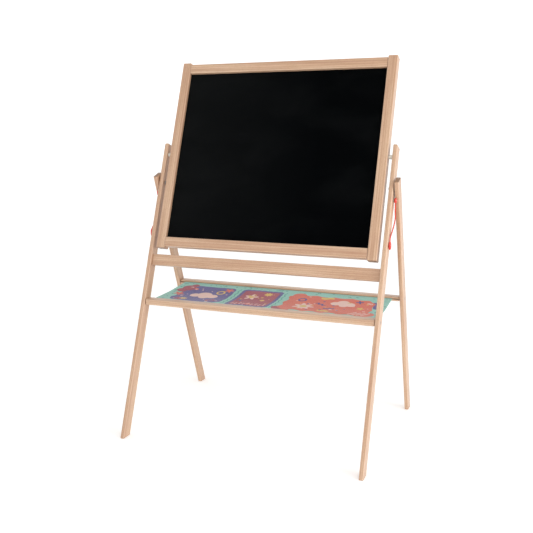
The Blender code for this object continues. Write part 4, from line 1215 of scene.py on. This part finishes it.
class EASEL_OT_cloth(bpy.types.Operator):
    """The printed cloth between the tray's rails, with its stitched hems"""
    bl_idname = "easel.cloth"
    bl_label = "Tray cloth"

    def execute(self, context):
        tray = context.scene.easel_tray
        low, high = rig.box("tray_fabric")
        front_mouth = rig.box("tray_rail_front")[1].y
        rear_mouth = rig.box("tray_rail_rear")[0].y
        half = tray.cloth_width / 2
        across = np.concatenate([[-half], np.linspace(-half + 0.0008, half - 0.0008, 333), [half]])
        along = np.linspace(low.y, high.y, 111)
        x, y = np.meshgrid(across, along)

        def level(x, y):
            """Straight from rail to rail, less sag sin^2, plus pull lines that fade at the rails."""
            t = np.clip((y - front_mouth) / (rear_mouth - front_mouth), 0, 1)
            bow = np.sin(np.pi * t) ** 2
            pull = 0.0007 * np.sin(46 * x + 3 * np.sin(7 * x)) * np.sin(2 * np.pi * t) ** 2
            swell = 0.0016 * np.sin(11 * x + 0.6) * bow
            edge = -0.003 * bow * smoothstep(abs(x), half - 0.06, half) * (1 - 0.3 * np.sin(5 * x))
            climb = (tray.rear_height - tray.front_height) * t
            return tray.front_height + climb - tray.sag * bow + pull + swell - edge

        def thick(x, y):
            """Half the thickness: one layer, and two in the hems 10 mm wide beside each edge."""
            hem = np.maximum(smoothstep(abs(x), half - 0.0112, half - 0.0098),
                             smoothstep(np.maximum(front_mouth - y, y - rear_mouth), -0.0082, -0.0068))
            close = 0.35 + 0.65 * np.sqrt(np.clip((half - abs(x)) / 0.0008, 0, 1))
            return (tray.cloth_thickness / 2 + hem * tray.cloth_thickness / 2 * 0.55) * close

        middle, rise = level(x, y), thick(x, y)
        top = np.stack([x, y, middle + rise], -1)
        under = np.stack([x, y, middle - rise], -1)
        rows, columns = x.shape
        count = rows * columns
        skin = quads(rows, columns, closed=False)
        faces = skin.tolist() + (skin[:, ::-1] + count).tolist()
        edge = np.concatenate([np.arange(columns), np.arange(1, rows) * columns + columns - 1,
                               count - 1 - np.arange(1, columns),
                               (rows - 1 - np.arange(1, rows - 1)) * columns])
        after = np.roll(edge, -1)
        faces += np.stack([edge, edge + count, after + count, after], 1).tolist()
        prints = {"print_" + k: np.tile(v.ravel(), 2) for k, v in cloth_print(x, y - front_mouth).items()}
        cloth = make_piece("tray_cloth", np.stack([top, under]), faces, material("printed_canvas"), None,
                           ["tray_fabric"], "teal_fabric", 60.0, **prints)
        store_uv(cloth, "cloth", np.tile(np.stack([x.ravel(), y.ravel()], 1), (2, 1)))
        bend = dict(start=(0, front_mouth, tray.front_height), end=(0, rear_mouth, tray.rear_height))
        # Stitches 3.4 mm apart: along each side hem, and along the front and rear hems.
        run_y = np.arange(front_mouth + 0.012, rear_mouth - 0.012, 0.0034)
        run_x = np.arange(-half + 0.010, half - 0.010, 0.0034)
        side_hem, end_hem = half - 0.0088, 0.0058
        seams = np.concatenate([
            *[np.stack([0 * run_y + at, run_y, 0 * run_y + np.pi / 2], 1) for at in (-side_hem, side_hem)],
            *[np.stack([run_x, 0 * run_x + at, 0 * run_x], 1)
              for at in (front_mouth + end_hem, rear_mouth - end_hem)]])
        points, faces = stitches(seams, lambda sx, sy: level(sx, sy) + thick(sx, sy))
        seam = make_piece("tray_cloth_stitching", points, faces, material("stitching_thread"), None, (),
                          "teal_fabric", 80.0)
        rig.blend(cloth, "front_frame", "rear_frame", **bend)
        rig.blend(seam, "front_frame", "rear_frame", **bend)
        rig.sheet(cloth, flat=(tray.cloth_width, high.y - low.y), held="stretched",
                 rests_on=["hem_rod_front", "hem_rod_rear"], with_pieces=[seam])
        return {"FINISHED"}


def stitches(seams, level):
    """One low six-sided grain of thread for each (x, y, heading), half sunk in the cloth: 2.6 mm long,
    0.38 sin(t) mm to each side and 0.30 sin(t) mm up and down, laid on the cloth's top surface."""
    t = np.linspace(0.12, 0.88, 5) * np.pi
    turn = np.linspace(0, 2 * np.pi, 6, endpoint=False)
    local = np.stack([np.repeat(-0.0013 * np.cos(t)[:, None], 6, 1),
                      0.00038 * np.sin(t)[:, None] * np.cos(turn),
                      0.00030 * np.sin(t)[:, None] * np.sin(turn)], -1).reshape(-1, 3)
    heading = seams[:, 2, None]
    x = seams[:, 0, None] + local[:, 0] * np.cos(heading) - local[:, 1] * np.sin(heading)
    y = seams[:, 1, None] + local[:, 0] * np.sin(heading) + local[:, 1] * np.cos(heading)
    points = np.stack([x, y, level(x, y) + 0.00012 + local[:, 2]], -1)
    grain = quads(5, 6)
    starts = np.arange(len(seams)) * 30
    faces = (grain[None] + starts[:, None, None]).reshape(-1, 4).tolist()
    caps = np.stack([np.arange(6)[::-1], np.arange(24, 30)])
    faces += (caps[None] + starts[:, None, None]).reshape(-1, 6).tolist()
    return points, faces


class EASEL_OT_hinges(bpy.types.Operator):
    """Hinge bolts with hexagon sockets, and the washers between the legs"""
    bl_idname = "easel.hinges"
    bl_label = "Hinges"

    def execute(self, context):
        fixings = context.scene.easel_fixings
        for label, side in SIDES.items():
            node = "hinge_bolt_" + label
            low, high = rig.box(node)
            head, tip = (low.x, high.x) if side > 0 else (-high.x, -low.x)
            big, small = fixings.bolt_head, fixings.socket
            # From the tip to the head, so that the axis points out of the head.
            dome = np.linspace(0, 0.5 * np.pi, 7)[:-1]
            shank = 0.003
            seat = head + 0.0035
            outline = [(-tip, shank - 0.0006), (-tip + 0.0006, shank), (-seat, shank),
                       (-seat, big - 0.0002), (-seat + 0.0002, big)]
            crown = small * 1.5
            outline += [(-seat + 0.0006 + 0.0026 * np.sin(a), crown + (big - crown) * np.cos(a) ** 0.8)
                        for a in dome]
            outline += [(-head, small * 1.35), (-head - 0.0002, small * 1.12), (-head - 0.0004, small),
                        (-head - 0.0022, small), (-head - 0.0026, small * 0.3)]

            def socket(angle, rows=len(outline)):
                """The last rows follow a hexagon: 1 / cos of the angle from the nearest flat's middle."""
                six = 1 / np.cos((angle + np.pi / 6) % (np.pi / 3) - np.pi / 6)
                return np.where((np.arange(rows) >= rows - 4)[:, None], six, 1.0)

            turned("bolt_hinge_" + label, (0, HINGE[1], HINGE[2]), -X * side, outline, "zinc_plated_steel",
                   "rear_frame", node, "steel", 60, socket, 30.0)
            node = "hinge_washer_" + label
            low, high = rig.box(node)
            ring_between("washer_hinge_" + label, low.x, high.x, 0.0033, fixings.washer, 0.0004,
                         (0, HINGE[1], HINGE[2]), "zinc_plated_steel", node, "steel")
        return {"FINISHED"}


def ring_between(name, low, high, bore, outer, soften, centre, material_name, node, slot):
    """A washer or spacer about X: a rectangle with quarter-round corners, turned about the axis."""
    turn = np.linspace(0, np.pi / 2, 4)
    along, radius = [], []
    for k, (a, r) in enumerate(((high - soften, outer - soften), (low + soften, outer - soften),
                                (low + soften, bore + soften), (high - soften, bore + soften))):
        angle = turn + k * np.pi / 2
        along += (a + soften * np.cos(angle)).tolist()
        radius += (r + soften * np.sin(angle)).tolist()
    sides = 48
    angle = np.linspace(0, 2 * np.pi, sides, endpoint=False)
    along, radius = np.array(along), np.array(radius)
    points = np.asarray(centre) + along[:, None, None] * X + radius[:, None, None] * (
        np.cos(angle)[:, None] * Y + np.sin(angle)[:, None] * Z)
    rows = len(along)
    k, i = np.meshgrid(np.arange(rows), np.arange(sides), indexing="ij")
    here, above = k * sides, (k + 1) % rows * sides
    over = (i + 1) % sides
    faces = np.stack([here + i, above + i, above + over, here + over], -1).reshape(-1, 4)
    return make_piece(name, points, faces.tolist(), material(material_name), "front_frame", [node], slot,
                      40.0)


class EASEL_OT_pivots(bpy.types.Operator):
    """The board's pivot pins and the pale spacers beside it"""
    bl_idname = "easel.pivots"
    bl_label = "Pivots"

    def execute(self, context):
        fixings = context.scene.easel_fixings
        for label in SIDES:
            node = "pivot_spacer_" + label
            low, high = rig.box(node)
            ring_between("spacer_pivot_" + label, low.x, high.x, 0.0038, fixings.spacer, 0.0008,
                         (0, PIVOT[1], PIVOT[2]), "moulded_nylon", node, "pale_plastic")
            finish_node("pivot_pin_" + label, "zinc_plated_steel", "steel")
        return {"FINISHED"}


class EASEL_OT_screws(bpy.types.Operator):
    """Countersunk cross-recess screws that hold the tray's rails"""
    bl_idname = "easel.screws"
    bl_label = "Tray screws"

    def execute(self, context):
        fixings = context.scene.easel_fixings
        wide = fixings.screw_head
        for kind in ("front", "rear"):
            for label, side in SIDES.items():
                node = "tray_screw_" + kind + "_" + label
                low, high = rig.box(node)
                head, tip = (high.x, low.x) if side > 0 else (-low.x, -high.x)
                centre = (0, (low.y + high.y) / 2, (low.z + high.z) / 2)
                arm, blade = 0.0021, 0.00055
                rows = [(tip, 0.0002), (tip + 0.003, 0.0017), (head - 0.0023, 0.0018),
                        (head - 0.0003, wide - 0.0001), (head - 0.0001, wide), (head, wide - 0.0002),
                        (head + 0.00015, arm * 1.25), (head + 0.00015, arm), (head - 0.0002, arm * 0.96),
                        (head - 0.0013, arm * 0.62), (head - 0.0016, arm * 0.2)]

                def recess(angle, count=len(rows)):
                    """The last rows follow a cross: the longer reach of its two bars at each angle."""
                    c, s = abs(np.cos(angle)) + 1e-9, abs(np.sin(angle)) + 1e-9
                    cross = np.maximum(np.minimum(1 / c, blade / arm / s),
                                       np.minimum(1 / s, blade / arm / c))
                    return np.where((np.arange(count) >= count - 4)[:, None], cross, 1.0)

                turned("screw_tray_" + kind + "_" + label, centre, X * side, rows, "zinc_plated_steel",
                       kind + "_frame", node, "steel", 64, recess, 30.0)
        return {"FINISHED"}


STEPS = (
    EASEL_OT_stage, EASEL_OT_cords, EASEL_OT_beads, EASEL_OT_legs, EASEL_OT_cross_rail, EASEL_OT_board_frame,
    EASEL_OT_panels, EASEL_OT_tray_rails, EASEL_OT_cloth, EASEL_OT_hinges, EASEL_OT_pivots, EASEL_OT_screws,
)


class EASEL_PT_panel(bpy.types.Panel):
    """Lists the easel's pieces and their sizes"""
    bl_idname = "EASEL_PT_panel"
    bl_label = "Kids easel"
    bl_space_type = "VIEW_3D"
    bl_region_type = "UI"
    bl_category = "Easel"

    def draw(self, context):
        for step in STEPS:
            self.layout.operator(step.bl_idname)
        for key, group in SETTINGS.items():
            box = self.layout.box()
            for name in group.__annotations__:
                box.prop(getattr(context.scene, key), name)


def register():
    for group in (*SETTINGS.values(), *STEPS, EASEL_PT_panel):
        bpy.utils.register_class(group)
    for key, group in SETTINGS.items():
        setattr(bpy.types.Scene, key, PointerProperty(type=group))


def unregister():
    for key in SETTINGS:
        delattr(bpy.types.Scene, key)
    for group in reversed((*SETTINGS.values(), *STEPS, EASEL_PT_panel)):
        bpy.utils.unregister_class(group)


def main():
    """Build every piece in order, and write the CAD box and the finished box."""
    register()
    for step in STEPS:
        area, action = step.bl_idname.split(".")
        getattr(getattr(bpy.ops, area), action)()
    with open(SIZE_FILE, "w") as size_file:
        json.dump({"cad": [list(c) for c in CAD_BOX], "visual": [list(c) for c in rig.bounds()]}, size_file)


if __name__ == "__main__":
    main()
